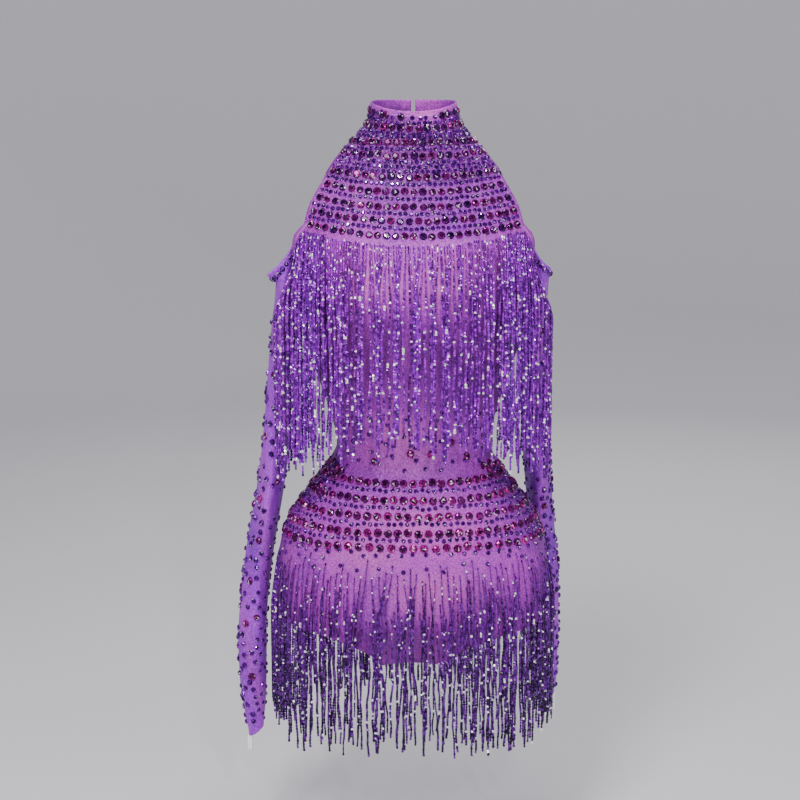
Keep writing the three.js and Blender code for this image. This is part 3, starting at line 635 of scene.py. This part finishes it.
rightSleeve["bigStones"] = [
    (-80, -357), (-128, -378), (-58, -435), (-122, -457), (-95, -508), (-112, -562), (-72, -608),
    (-118, -618), (-88, -688), (-104, -300), (-72, -252), (60, -280), (110, -350), (80, -430),
    (124, -500), (70, -570), (100, -640), (172, -330), (-172, -470), (178, -585), (4, -400), (12, -610),
]
leftSleeve = {
    "name": "sleeveLeftCloth", "node": "sleeve_left", "turn": -1,
    "height": [-176, -190, -210, -240, -300, -385, -450, -510, -575, -640, -685, -712, -733, -746],
    "x": [156, 154, 153, 152, 153, 156, 160, 166, 172.6, 174.8, 176, 177.5, 178, 177.5],
    "y": [26, 28, 33, 40, 46, 52, 64, 76, 85, 87, 87, 87, 87, 87],
    "halfWidth": [11, 10.5, 11, 12, 14.5, 15.5, 15, 14.5, 14.5, 14, 13, 12, 10, 8],
    "halfDepth": [36, 39, 40, 40, 39, 37, 34, 32, 31, 29, 24, 17, 10, 7],
    "rise": [30, 22, 14, 5, 0, 0, 0, 0, 0, 0, 2, 6, 10, 12],
    "creases": [
        (-80, -240, 98, 60, 5, 1.6), (-60, -320, 80, 80, 6, 1.8), (-120, -420, 100, 70, 5, 1.4),
        (-90, -450, -16, 22, 5, 1.6), (-70, -476, 12, 22, 5, 1.4), (-100, -560, 84, 60, 5, 1.6),
        (-75, -640, 96, 46, 5, 1.4), (75, -300, 84, 70, 6, 1.6), (105, -430, 96, 60, 5, 1.5),
        (85, -480, 14, 22, 5, 1.4), (65, -570, 98, 60, 5, 1.5), (180, -500, 90, 60, 5, 1.2),
    ],
}
leftSleeve["bigStones"] = [
    (-84, -340), (-120, -414), (-100, -478), (-140, -300), (-70, -545), (-118, -600), (-80, -655),
    (-108, -250), (62, -270), (108, -345), (76, -425), (120, -505), (72, -575), (104, -645),
    (170, -320), (176, -450), (-168, -560), (6, -390), (10, -560),
]
sleeveGrid = {
    "rows": 150, "columns": 44, "crowd": 0.4, "foldDepth": 0.09, "foldTurn": 90, "foldFrom": (200, 300),
    "foldTo": (640, 740), "perDegree": 0.5, "creaseFrom": (185, 215), "creaseTo": (30, 8),
    "pale": 0.35, "paleTurn": 61, "paleWind": 1.3,
}


# sleeve point: an ellipse round the tube's middle, with three long soft folds that wind slowly
# down; the inner side rises at both mouths, so the openings slant
def sleevePoint(sleeve, turned, height):
    x, y, halfWidth, halfDepth, rise = [
        smoothThrough(sleeve["height"], sleeve[key], height)
        for key in ("x", "y", "halfWidth", "halfDepth", "rise")]
    fading = softStep(-height, *sleeveGrid["foldFrom"]) * (1 - softStep(-height, *sleeveGrid["foldTo"]))
    fold = 1 - sleeveGrid["foldDepth"] * fading * np.cos(3 * turned + height / sleeveGrid["foldTurn"])
    return together(
        x + sleeve["turn"] * halfWidth * np.cos(turned) * fold, y + halfDepth * np.sin(turned) * fold,
        height + rise * ((1 + np.cos(turned)) / 2) ** 1.6)


# rows crowd a little to both ends by a cosine; creases are placed by degrees, each of which is
# about half a millimetre of cloth
def addSleeve(sleeve):
    share = np.linspace(0, 1, sleeveGrid["rows"])[:, None]
    top, low = sleeve["height"][0], sleeve["height"][-1]
    crowded = sleeveGrid["crowd"] * (0.5 - 0.5 * np.cos(np.pi * share))
    height = top + (low - top) * ((1 - sleeveGrid["crowd"]) * share + crowded)
    turned = turns(sleeveGrid["columns"])[None, :]
    perDegree = sleeveGrid["perDegree"]
    arc = perDegree * ((np.degrees(turned) + 180) % 360 - 180)
    relief = creaseRelief([(perDegree * at, *rest) for at, *rest in sleeve["creases"]], arc, height)
    ending = softStep(-height, *[-low - above for above in sleeveGrid["creaseTo"]])
    relief = relief * softStep(-height, *sleeveGrid["creaseFrom"]) * (1 - ending)
    pale = np.sin(height / sleeveGrid["paleTurn"] + sleeveGrid["paleWind"] * np.cos(turned)) ** 4
    clothShell(sleeve["name"], sleeve["node"], sleevePoint(sleeve, turned, height), sleeve["turn"], relief,
               {"top": hemRise, "bottom": hemRise}, sleeveGrid["pale"] * pale, violetMesh, wrap=True)


addSleeve(rightSleeve)
addSleeve(leftSleeve)
print("sleeves made")

# stones

# each ring is (radius, turn in sides, height) as shares, from the flat back up to the table
bigStone = {"sides": 8, "radius": 4.8, "rise": 3.2,
            "rings": [(1, 0, 0), (1, 0, 0.3), (0.82, 0.5, 0.7), (0.5, 0, 1)]}
smallStone = {"sides": 6, "radius": 2.95, "rise": 2.1, "rings": [(1, 0, 0), (0.97, 0, 0.35), (0.52, 0.5, 1)]}
# the last two values set which table facets are painted glints and how dark the painted tables are
stoneChance = {"size": (0.92, 1.05), "tilt": 0.07, "paintedGlintFrom": 0.93, "paintedTableShade": 0.4}
onSurface = cloth["outer"] - 0.15


# one cut stone of unit radius: its rings joined by triangles, and closed by a fan below and a fan on top
def stoneShape(kind):
    n, rings = kind["sides"], kind["rings"]
    k = np.arange(n)
    d, turn = (k + 1) % n, 2 * np.pi * k / n
    points = [together(r * np.cos(turn + 2 * np.pi * t / n), r * np.sin(turn + 2 * np.pi * t / n), z)
              for r, t, z in rings]
    faces = []
    for low in range(len(rings) - 1):
        a, b, c, e = low * n + k, low * n + d, (low + 1) * n + d, (low + 1) * n + k
        if rings[low + 1][1] >= rings[low][1]:
            faces += [together(a, b, e), together(b, c, e)]
        else:
            faces += [together(a, b, c), together(a, c, e)]
    fan = together(0, k[1:-1], d[1:-1])
    faces += [fan[:, ::-1], fan + (len(rings) - 1) * n]
    return np.concatenate(points), np.concatenate(faces), n - 2


# vectors divided by their lengths
def unit(vectors):
    return vectors / np.linalg.norm(vectors, axis=-1, keepdims=True)


# each stone is the unit shape, sized, turned by chance about the cloth's normal, and set on its place
def addStones(name, kind, places, normals, material, sizes=None):
    shape, faces, tableFaces = stoneShape(kind)
    count = len(places)
    size = kind["radius"] * (dice.uniform(*stoneChance["size"], count) if sizes is None else sizes)
    tilt = unit(normals + dice.normal(0, stoneChance["tilt"], normals.shape))
    first = unit(np.cross(np.where(np.abs(tilt[:, 2:]) < 0.9, [[0, 0, 1.0]], [[1.0, 0, 0]]), tilt))
    spin = dice.uniform(0, 2 * np.pi, count)[:, None]
    right = np.cos(spin) * first + np.sin(spin) * np.cross(tilt, first)
    up = np.cross(tilt, right)
    rise = size * kind["rise"] / kind["radius"]
    points = (
        places[:, None] + (shape[None, :, :1] * right[:, None] + shape[None, :, 1:2] * up[:, None])
        * size[:, None, None] + shape[None, :, 2:] * tilt[:, None] * rise[:, None, None]
    )
    allFaces = faces[None] + (np.arange(count) * len(shape))[:, None, None]
    # each facet gets a painted reflection from dark to bright; the tables are painted darker, and a few of
    # their triangles are painted glints
    facetPaintedLight = dice.uniform(0, 1, (count, len(faces)))
    table = facetPaintedLight[:, -tableFaces:]
    paintedDarkTable = table * stoneChance["paintedTableShade"] + dice.uniform(-0.1, 0.2, (count, 1))
    facetPaintedLight[:, -tableFaces:] = np.where(table > stoneChance["paintedGlintFrom"], 1, paintedDarkTable)
    tint = np.repeat(dice.uniform(0, 1, count) ** 1.4, len(shape))
    addPiece(name, points, allFaces.reshape(-1, 3), material, flat=True,
             values={"tint": tint}, faceValues={"facetPaintedLight": facetPaintedLight})


# where the cloth's outer face is, and how it faces, at shares and heights of a surface function
def onCloth(surface, u, h, turn):
    du, dh = 1e-3, 0.3
    across = surface(u + du, h) - surface(u - du, h)
    down = surface(u, h - dh) - surface(u, h + dh)
    normal = unit(-turn * np.cross(across, down))
    return surface(u, h) + normal * onSurface, normal


# the same columns of several parts, each put end to end
def joined(parts):
    return [np.concatenate(column) for column in zip(*parts)]


# distance walked along a line of points
def walkAlong(points):
    return np.concatenate([[0], np.cumsum(stepLengths(points))])


# each row is parted into equal lengths, with a stone near the middle of each
def gatherRows(surface, rows, turn):
    found = []
    for height, pitch, clear, uneven in rows:
        u = np.linspace(0.001, 0.999, 500)
        walk = walkAlong(surface(u, height))
        usable = walk[-1] - 2 * clear
        count = max(int(round(usable / pitch)), 1)
        at = clear + (np.arange(count) + 0.5) / count * usable + dice.normal(0, 0.04 * pitch, count)
        u = np.interp(at, walk, u)
        found.append(onCloth(surface, u, height + dice.normal(0, uneven, count), turn))
    return joined(found)


frontSurface, backSurface = partial(panelPoint, frontPanel), partial(panelPoint, backPanel)


# the collar's rows are named by their height at the sides
def collarSurface(u, sideHeight):
    return collarPoint(u, (collar["sideTop"] - sideHeight) / (collar["sideTop"] - collar["bottom"]))


# height, pitch, clear end, unevenness in height of each row
yokeRows = {
    "big": [(-36.6, 10.3, 4, 0.7), (-61, 10.5, 4, 0.4), (-78, 10.5, 4, 0.4), (-94.5, 10.5, 4, 0.4),
            (-110.5, 10.5, 4, 0.4), (-127, 10.5, 4, 0.4)],
    "small": [(-28.9, 6.2, 3, 0.6), (-44.1, 6.2, 3, 0.6), (-49.6, 6.4, 3, 0.5), (-54.6, 6.4, 3, 0.4),
              (-69.2, 6.2, 3, 0.5), (-85.8, 6.2, 3, 0.5), (-102.2, 6.2, 3, 0.5), (-118.4, 6.2, 3, 0.5)],
}
collarRows = {
    "big": [(0.2, 10.2, 4, 0.7), (-20.6, 10.2, 4, 0.6)],
    "small": [(8, 6.3, 3, 0.8), (-7.8, 6.2, 3, 0.6), (-13.2, 6.2, 3, 0.6)],
}
hipStoneShare = {"big": (1.03, 1.14), "small": (0.94, 1.06)}
hipRows = {
    "big": [(-420, 11.2, 3.5, 0.5), (-440, 11.6, 3.5, 0.6), (-459, 11.9, 3.5, 0.6), (-478, 12.2, 3.5, 0.6),
            (-496, 12.8, 3.5, 0.6)],
    "small": [(-428.2, 7.2, 3, 0.8), (-448.2, 7.2, 3, 0.9), (-467.2, 7.4, 3, 0.9), (-486.2, 8, 3, 0.9),
              (-504, 15, 6, 1.2)],
}

# lowest and highest height, shares, and most large and small stones of each band that is filled
fills = {
    "yoke": [(-66, -28, (0.02, 0.98), 6, 130)],
    "collar": [(6, 17, (0.012, 0.38), 12, 120), (6, 17, (0.62, 0.988), 12, 120),
               (-22, 17, (0.38, 0.62), 5, 120)],
    "hip": [(-502, -406, (0.015, 0.2), 8, 90), (-502, -406, (0.8, 0.985), 8, 90)],
}
packing = {"tries": 5200, "bigShare": 0.3, "reach": 0.97}


# stones packed by chance on a band of cloth: the large ones first, then small ones in what is left,
# each at least the sum of the two radii from every other and from the rows
def packBand(surface, turn, rows, low, high, share, bigCount, smallCount):
    tries, most = packing["tries"], {"big": bigCount, "small": smallCount}
    own = {"big": bigStone["radius"] * packing["reach"], "small": smallStone["radius"] * packing["reach"]}
    u = dice.uniform(*share, tries)
    places, normals = onCloth(surface, u, dice.uniform(low, high, tries), turn)
    spots = np.concatenate([rows[name][0] for name in own])
    reach = np.concatenate([np.full(len(rows[name][0]), own[name]) for name in own])
    kept = {"big": [], "small": []}
    for i in range(tries):
        name = "big" if i < tries * packing["bigShare"] and len(kept["big"]) < bigCount else "small"
        if len(kept[name]) >= most[name]:
            continue
        if (np.linalg.norm(spots - places[i], axis=1) < reach + own[name]).any():
            continue
        spots, reach = np.vstack([spots, places[i]]), np.append(reach, own[name])
        kept[name].append(i)
    return {name: (places[at], normals[at]) for name, at in kept.items()}


# rows first, then what is packed between them, each kind of stone as one piece
def addRows():
    bands = (("yoke", frontSurface, 1, yokeRows), ("collar", collarSurface, -1, collarRows),
             ("hip", frontSurface, 1, hipRows))
    parts = {key: [{name: gatherRows(surface, rows[name], turn) for name in rows}]
             for key, surface, turn, rows in bands}
    for key, surface, turn, _ in bands:
        parts[key] += [packBand(surface, turn, parts[key][0], *fill) for fill in fills[key]]
    for name, kind, glass in (("big", bigStone, magentaGlass), ("small", smallStone, violetGlass)):
        # the large stones of the yoke and collar take the darker glass, partly painted shade
        upper = plumAndShadedGlass if name == "big" else glass
        yoke, band, hip = [joined([part[name] for part in parts[key]]) for key, *_ in bands]
        addStones(name + "YokeStones", kind, *yoke, upper)
        addStones(name + "CollarStones", kind, *band, upper)
        addStones(name + "FrontHipStones", kind, *hip, glass,
                  dice.uniform(*hipStoneShare[name], len(hip[0])))
        backs = joined([[part * side for part in gatherRows(backSurface, hipRows[name], -1)]
                        for side in (1, flip)])
        addStones(name + "BackHipStones", kind, *backs, glass,
                  dice.uniform(*hipStoneShare[name], len(backs[0])))


addRows()
print("stone rows set")

# x and z of the large stones on the belly, and the count, distance, shares and heights of small ones
scattered = {
    "bellyBig": [(-3, -385), (20, -386), (-64, -352), (-46, -396), (44, -372), (-20, -360), (66, -392)],
    "front": [(64, 15, (0.06, 0.94), (-406, -340)), (30, 17, (0.05, 0.95), (-526, -511))],
    "back": (70, 19, (0.06, 0.94), (-404, -270)), "tries": 14,
}
sleeveStones = {"count": 330, "apart": 8.4, "from": -222, "to": 12, "towardsWrist": 0.6, "onRim": 22,
                "rimDrop": 5}


# places drawn by chance that keep their distance from each other
def scatter(surface, count, apart, draw):
    kept = []
    for _ in range(count * scattered["tries"]):
        place = np.array(draw())
        spot = surface(*place)
        if all(np.linalg.norm(spot - other) > apart for _, other in kept):
            kept.append((place, spot))
        if len(kept) == count:
            break
    return np.array([place for place, _ in kept])


# scattered places between two shares and two heights, set on the cloth
def scatterBand(surface, turn, count, apart, shares, heights):
    spots = scatter(surface, count, apart, lambda: (dice.uniform(*shares), dice.uniform(*heights)))
    return onCloth(surface, *spots.T, turn)


def addBodyScatter():
    x, z = np.array(scattered["bellyBig"], float).T
    u = np.degrees(np.arcsin(x / 100)) / 180 + 0.5  # the belly is about 100 mm in half-width
    addStones("bellyBigStones", bigStone, *onCloth(frontSurface, u, z, 1), magentaGlass)
    front = [scatterBand(frontSurface, 1, *band) for band in scattered["front"]]
    addStones("bellySmallStones", smallStone, *joined(front), violetGlass)
    backs = [[part * side for part in scatterBand(backSurface, -1, *scattered["back"])]
             for side in (1, flip)]
    addStones("backSmallStones", smallStone, *joined(backs), violetGlass)


# stones on a sleeve: the listed large ones, then small ones by chance, more of them towards the
# wrist, and a row along the upper hem; both kinds are larger on the outer side
def addSleeveStones(sleeve, label):
    first, low = sleeveStones["from"], sleeve["height"][-1] + sleeveStones["to"]
    surface = partial(sleevePoint, sleeve)

    def draw():
        share = dice.uniform(0, 1) ** sleeveStones["towardsWrist"]
        return dice.uniform(0, 2 * np.pi), first + (low - first) * share

    def setStones(name, kind, spots, glass, chance, least, more):
        place, normal = onCloth(surface, *spots.T, sleeve["turn"])
        outwards = softStep(-np.cos(spots[:, 0]), -0.5, 0.1)
        addStones("sleeve" + label + name, kind, place, normal, glass,
                  dice.uniform(*chance, len(place)) * (least + more * outwards))
        return place

    hand = np.array(sleeve["bigStones"], float)
    hand[:, 0] = np.radians(hand[:, 0])
    place = setStones("BigStones", bigStone, hand, magentaGlass, (0.94, 1.06), 0.8, 0.22)
    spots = scatter(surface, sleeveStones["count"], sleeveStones["apart"], draw)
    rim = turns(sleeveStones["onRim"])
    spots = np.concatenate([spots, together(rim, sleeve["height"][0] - sleeveStones["rimDrop"])])
    near = np.linalg.norm(surface(spots[:, :1], spots[:, 1:]) - place[None], axis=-1).min(axis=1)
    spots = spots[near > sleeveStones["apart"]]
    setStones("SmallStones", smallStone, spots, violetGlass, (0.92, 1.05), 1, 0.32)


addBodyScatter()
addSleeveStones(rightSleeve, "Right")
addSleeveStones(leftSleeve, "Left")
print("scattered stones set")

# fringe

# what all strings share, unless a fringe gives its own
beadString = {
    "sides": 4, "pitch": 3.4, "radius": 1.45, "thread": 0.85, "atRoot": 1.9, "offset": 3.6,
    "out": 0, "forward": 0, "lock": 27, "lockPull": 6.2, "thin": 0.6, "layers": 3.6,
}
chestFringe = {
    "angle": [-80, -70, -60, -50, -30, 0, 30, 50, 60, 70, 80],
    "root": [-160, -148, -133, -122, -129.5, -135, -129.5, -122, -133, -148, -160],
    "end": [-405, -416, -408, -394, -378, -368, -377, -394, -406, -414, -404],
    "strings": 142, "uneven": 46, "sway": 2.6, "lock": 19, "lockPull": 5.2, "out": 20, "forward": 10,
    "rootUneven": 3, "thick": 1.22,
}
# more strings in the gap between the body and each sleeve, where there is no cloth behind them
sideFringes = {
    "Right": {"angle": [-78, -70, -60, -50, -40], "root": [-158, -148, -133, -122, -125],
              "end": [-386, -394, -388, -384, -384]},
    "Left": {"angle": [40, 50, 60, 70, 78], "root": [-125, -122, -133, -148, -158],
             "end": [-382, -384, -388, -394, -388]},
}
sideFringeShape = {
    "strings": 38, "uneven": 84, "sway": 2.4, "lock": 13, "lockPull": 1.8, "out": 3, "forward": 9,
    "rootUneven": 10, "thick": 1.2, "layers": 3.4,
}
hipFringe = {
    "angle": [-88.5, -40, 0, 40, 88.5],
    "root": [-524, -530, -534, -530, -524],
    "end": [-734, -750, -744, -752, -736],
    "strings": 104, "uneven": 40, "sway": 3.4, "thin": 0.62, "rootUneven": 56, "thick": 1.28,
}
upperHipFringe = {
    "angle": [-87, -40, 0, 40, 87],
    "root": [-504, -508, -510, -508, -504],
    "end": [-716, -728, -724, -730, -718],
    "strings": 56, "uneven": 60, "sway": 4.6, "thin": 0.55, "rootUneven": 26, "thick": 1.15,
}
# angles and drops over which strings move out and forward, the shares of a string over which it
# leans, straightens, swings, lifts and swells, and the wavelength and size of its waves
hang = {
    "outTurn": (45, 76), "forwardTurn": (62, 80), "fall": (10, 70), "lean": (0.01, 0.3),
    "straighten": (0.4, 0.95), "waves": ((61, 1.3), (27, 0.7), (13, 0.3)), "swing": (0.04, 0.4),
    "lift": (0.02, 0.35), "fill": (0.03, 0.22), "swell": (0.1, 0.45), "slimTurn": (76, 84), "knot": 1.35,
    "paintedSparkFrom": 0.92,
}


# places along a fringe line that part it into equal lengths on the cloth
def fringePlaces(side, line):
    count, sample = line["strings"], np.linspace(line["angle"][0], line["angle"][-1], 600)
    walk = walkAlong(figurePoint(side, sample, smoothThrough(line["angle"], line["root"], sample)))
    at = np.clip((np.arange(count) + 0.5) / count * walk[-1] + dice.normal(0, 0.5, count), 2, walk[-1] - 2)
    return np.interp(at, walk, sample), at


# string k at share t: it follows the cloth to the widest and deepest place it has passed, and hangs
# plumb from there; neighbours lean into locks by a sine of their place along the line, each string
# waves a little by chance sines, and the radius swells and narrows once a bead
def addStrings(name, side, line, material, node=None):
    line = {**beadString, **line}
    count, sides = line["strings"], line["sides"]
    angle, place = fringePlaces(side, line)
    root = smoothThrough(line["angle"], line["root"], angle) - dice.uniform(0, line["rootUneven"], count)
    end = smoothThrough(line["angle"], line["end"], angle) - line["uneven"] * (dice.beta(2, 2, count) - 0.6)
    beads = int(round(np.mean(root - end) / line["pitch"]))
    rings = 2 * beads + 1
    t = np.linspace(0, 1, rings)[None, :]
    angle, root, end = angle[:, None], root[:, None], end[:, None]
    height = root + (end - root) * t
    reach = np.maximum.accumulate(np.abs(figurePoint(side, angle, height)[..., :2]), axis=1)
    turn, fallen = np.abs(angle), softStep(root - height, *hang["fall"])
    reach = reach + together(line["out"] * softStep(turn, *hang["outTurn"]) * fallen,
                             line["forward"] * softStep(turn, *hang["forwardTurn"]) * fallen)
    sine, cosine = np.sin(np.radians(angle)), np.cos(np.radians(angle))
    phase = 2 * np.pi * place / line["lock"] + 1.6 * np.sin(place / 47 + 1) + 0.9 * np.sin(place / 19)
    pull = -line["lockPull"] * np.sin(phase) * (0.7 + 0.5 * np.sin(place / 31 + 2))
    sway = pull[:, None] * (softStep(t, *hang["lean"]) - 0.4 * softStep(t, *hang["straighten"]))
    sway = sway + line["sway"] * dice.normal(0, 0.5, count)[:, None] * t**1.5
    for length, size in hang["waves"]:
        wave = np.sin(height / length * np.pi + dice.uniform(0, 6, count)[:, None])
        sway = sway + size * dice.uniform(0.3, 1.2, (count, 1)) * wave * softStep(t, *hang["swing"])
    layer = line["atRoot"] + (line["offset"] - line["atRoot"]) * softStep(t, 0, 0.05)
    layer = layer + softStep(t, *hang["lift"]) * dice.uniform(0, line["layers"], count)[:, None]
    x = np.sign(angle) * reach[..., 0] + sine * layer + cosine * sway
    y = side * (reach[..., 1] + cosine * layer - 0.6 * sine * sway)
    tint = np.repeat(dice.uniform(0, 1, (count, beads)), 2, axis=1)
    tint = np.concatenate([tint, tint[:, -1:]], axis=1)
    swell = np.where(np.arange(rings) % 2 == 1, line["radius"], line["thread"])[None, :]
    # the white beads painted as glints are a little larger
    swell = swell * dice.uniform(0.8, 1.12, (count, 1)) * np.where(tint > hang["paintedSparkFrom"], 1.05, 1)
    swell = swell * (line["thin"] + (1 - line["thin"]) * softStep(t, *hang["fill"]))
    slim = 1 - softStep(turn, *hang["slimTurn"])
    swell = swell * (1 + (line["thick"] - 1) * softStep(t, *hang["swell"]) * slim)
    swell[:, 1] = hang["knot"]
    corner = 2 * np.pi * np.arange(sides) / sides + dice.uniform(0, 1.6, (count, rings, 1))
    x, y, z, swell = [part[..., None] for part in (x, y, height, swell)]
    points = together(x + swell * np.cos(corner), y + swell * np.sin(corner), z)
    each = rings * sides
    faces = np.concatenate([gridFaces(rings, sides, wrap=True),
                            [np.arange(sides), each - 1 - np.arange(sides)]])
    allFaces = (faces[None] + (np.arange(count) * each)[:, None, None]).reshape(-1, 4)
    values = {"along": t, "tint": tint, "shade": dice.uniform(0, 1, (count, 1))}
    values = {key: np.repeat(np.broadcast_to(value, height.shape), sides) for key, value in values.items()}
    addPiece(name, points, allFaces, material, node, flat=True, values=values)
    print(f"{name}: {count} strings of {beads} beads")


addStrings("chestStrings", -1, chestFringe, chestBeads, "chest_fringe")
for label, line in sideFringes.items():
    addStrings("side" + label + "Strings", -1, {**sideFringeShape, **line}, sideBeads)
addStrings("hipStringsFront", -1, hipFringe, hipBeads, "hip_fringe_front")
addStrings("hipStringsBack", 1, hipFringe, hipBeads, "hip_fringe_back")
addStrings("upperHipStringsFront", -1, upperHipFringe, hipBeads)
addStrings("upperHipStringsBack", 1, upperHipFringe, hipBeads)
print("fringe hung")

# finger loops

# share along the loop, how far it has dropped, and how far it stands from the middle
fingerLoop = {
    "width": 6, "thickness": 0.9, "drop": 22, "halfGap": 3.5, "around": 12, "along": 60, "clear": 0.15,
    "below": 0.3,
    "share": [0, 0.08, 0.18, 0.28, 0.38, 0.5, 0.62, 0.72, 0.82, 0.92, 1],
    "fallen": [0, 0.2, 0.45, 0.7, 0.9, 1, 0.9, 0.7, 0.45, 0.2, 0],
    "apart": [1, 1.2, 1.35, 1.3, 0.85, 0, -0.85, -1.3, -1.35, -1.2, -1],
}


# a flat elastic with rounded edges, carried along a loop whose half-width swells and then closes
def addFingerLoop(name, node, sleeve):
    x = sleeve["x"][-1]
    middleX = x + np.sign(x) * (sleeve["halfWidth"][-1] + fingerLoop["clear"])
    at = np.linspace(0, 1, fingerLoop["along"])
    y = sleeve["y"][-1] + smoothThrough(fingerLoop["share"], fingerLoop["apart"], at) * fingerLoop["halfGap"]
    fallen = smoothThrough(fingerLoop["share"], fingerLoop["fallen"], at)
    z = sleeve["height"][-1] - fingerLoop["below"] - fallen * fingerLoop["drop"]
    y, z, dy, dz = [part[:, None] for part in (y, z, np.gradient(y), np.gradient(z))]
    length = np.hypot(dy, dz)
    n, last = fingerLoop["around"], fingerLoop["around"] * len(at)
    k = np.arange(n)
    d, a = (k + 1) % n, 2 * np.pi * k / n
    wide, thick = [np.sign(c) * np.abs(c) ** 0.5 * fingerLoop[key] / 2
                   for c, key in ((np.cos(a), "width"), (np.sin(a), "thickness"))]
    points = together(middleX + wide, y - dz / length * thick, z + dy / length * thick)
    faces = gridFaces(len(at), n, wrap=True)
    caps = [together(k, d, last), together(last - n + d, last - n + k, last + 1)]
    points = np.concatenate([points.reshape(-1, 3), [points[0].mean(0), points[-1].mean(0)]])
    addPiece(name, points, np.concatenate([faces[:, [0, 1, 2]], faces[:, [0, 2, 3]], *caps]),
             clearElastic, node)


addFingerLoop("fingerLoopRight", "finger_loop_right", rightSleeve)
addFingerLoop("fingerLoopLeft", "finger_loop_left", leftSleeve)
for node in ("nape_hook_upper", "nape_hook_lower"):
    mesh = frame["nodes"][node].data
    mesh.materials.clear()
    mesh.materials.append(platedHook)
print("finger loops and hooks made")

# floor, backdrop and lights

studio = {
    "floor": -0.93, "pale": (0.78, 0.77, 0.80, 1), "inner": [0.02, 1.5], "flat": 3.0, "bend": 1.3, "rim": 1.6,
    "around": 96, "air": (0.86, 0.87, 0.92, 1), "airStrength": 0.28, "aim": (0, 0, -0.38),
}


# a round floor that curves up into a low wall along a quarter circle, the same from every side
def addBackdrop():
    turn = np.linspace(0, np.pi / 2, 20)
    flat, bend, count = studio["flat"], studio["bend"], studio["around"]
    reach = np.concatenate([studio["inner"], flat + bend * np.sin(turn), [flat + bend]])[:, None]
    z = np.concatenate([[0, 0], bend * (1 - np.cos(turn)), [studio["rim"] - studio["floor"]]])[:, None]
    around = turns(count)[None, :]
    points = together(reach * np.cos(around), reach * np.sin(around), z + studio["floor"])
    mesh = bpy.data.meshes.new("backdrop")
    mesh.from_pydata(points.reshape(-1, 3).tolist(), [],
                     gridFaces(len(z), count, wrap=True).tolist() + [list(range(count))])
    mesh.polygons.foreach_set("use_smooth", np.full(len(mesh.polygons), True))
    paint = Paint("palePaper")
    paint.shader.inputs["Base Color"].default_value = studio["pale"]
    paint.shader.inputs["Roughness"].default_value = 0.85
    mesh.materials.append(paint.material)
    addObject("backdrop", mesh)


lamps = {
    "key": {"place": (-0.7, -1.9, 1.5), "size": 0.7, "power": 56, "colour": (1, 0.97, 0.98)},
    "fill": {"place": (1.6, -1.7, 0.3), "size": 1.4, "power": 11, "colour": (0.93, 0.93, 1)},
    "top": {"place": (0.1, -0.2, 1.9), "size": 0.6, "power": 22, "colour": (1, 1, 1)},
    "glint": {"place": (0.35, -2.3, 0.7), "size": 0.08, "power": 13, "colour": (1, 1, 1)},
    "rear": {"place": (0.8, 2.3, 1.2), "size": 1.3, "power": 20, "colour": (0.96, 0.96, 1)},
}


# each lamp is turned from straight down by its pitch and its heading, so that it faces the aim
def addLamps():
    for name, lamp in lamps.items():
        data = bpy.data.lights.new(name, "AREA")
        data.size, data.energy, data.color = lamp["size"], lamp["power"], lamp["colour"]
        light = addObject(name, data)
        light.location = lamp["place"]
        x, y, z = np.array(studio["aim"]) - np.array(lamp["place"])
        light.rotation_euler = (math.acos(-z / math.hypot(x, y, z)), 0, math.atan2(-x, y))
    world = bpy.data.worlds.new("studioAir")
    bpy.context.scene.world = world
    world.use_nodes = True
    air = world.node_tree.nodes["Background"]
    air.inputs["Color"].default_value = studio["air"]
    air.inputs["Strength"].default_value = studio["airStrength"]


addBackdrop()
addLamps()
print("studio set")
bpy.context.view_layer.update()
triangles = sum(len(p.vertices) - 2 for o in bpy.data.objects if o.type == "MESH"
                for p in o.data.polygons)
print(f"{triangles} triangles in the scene")
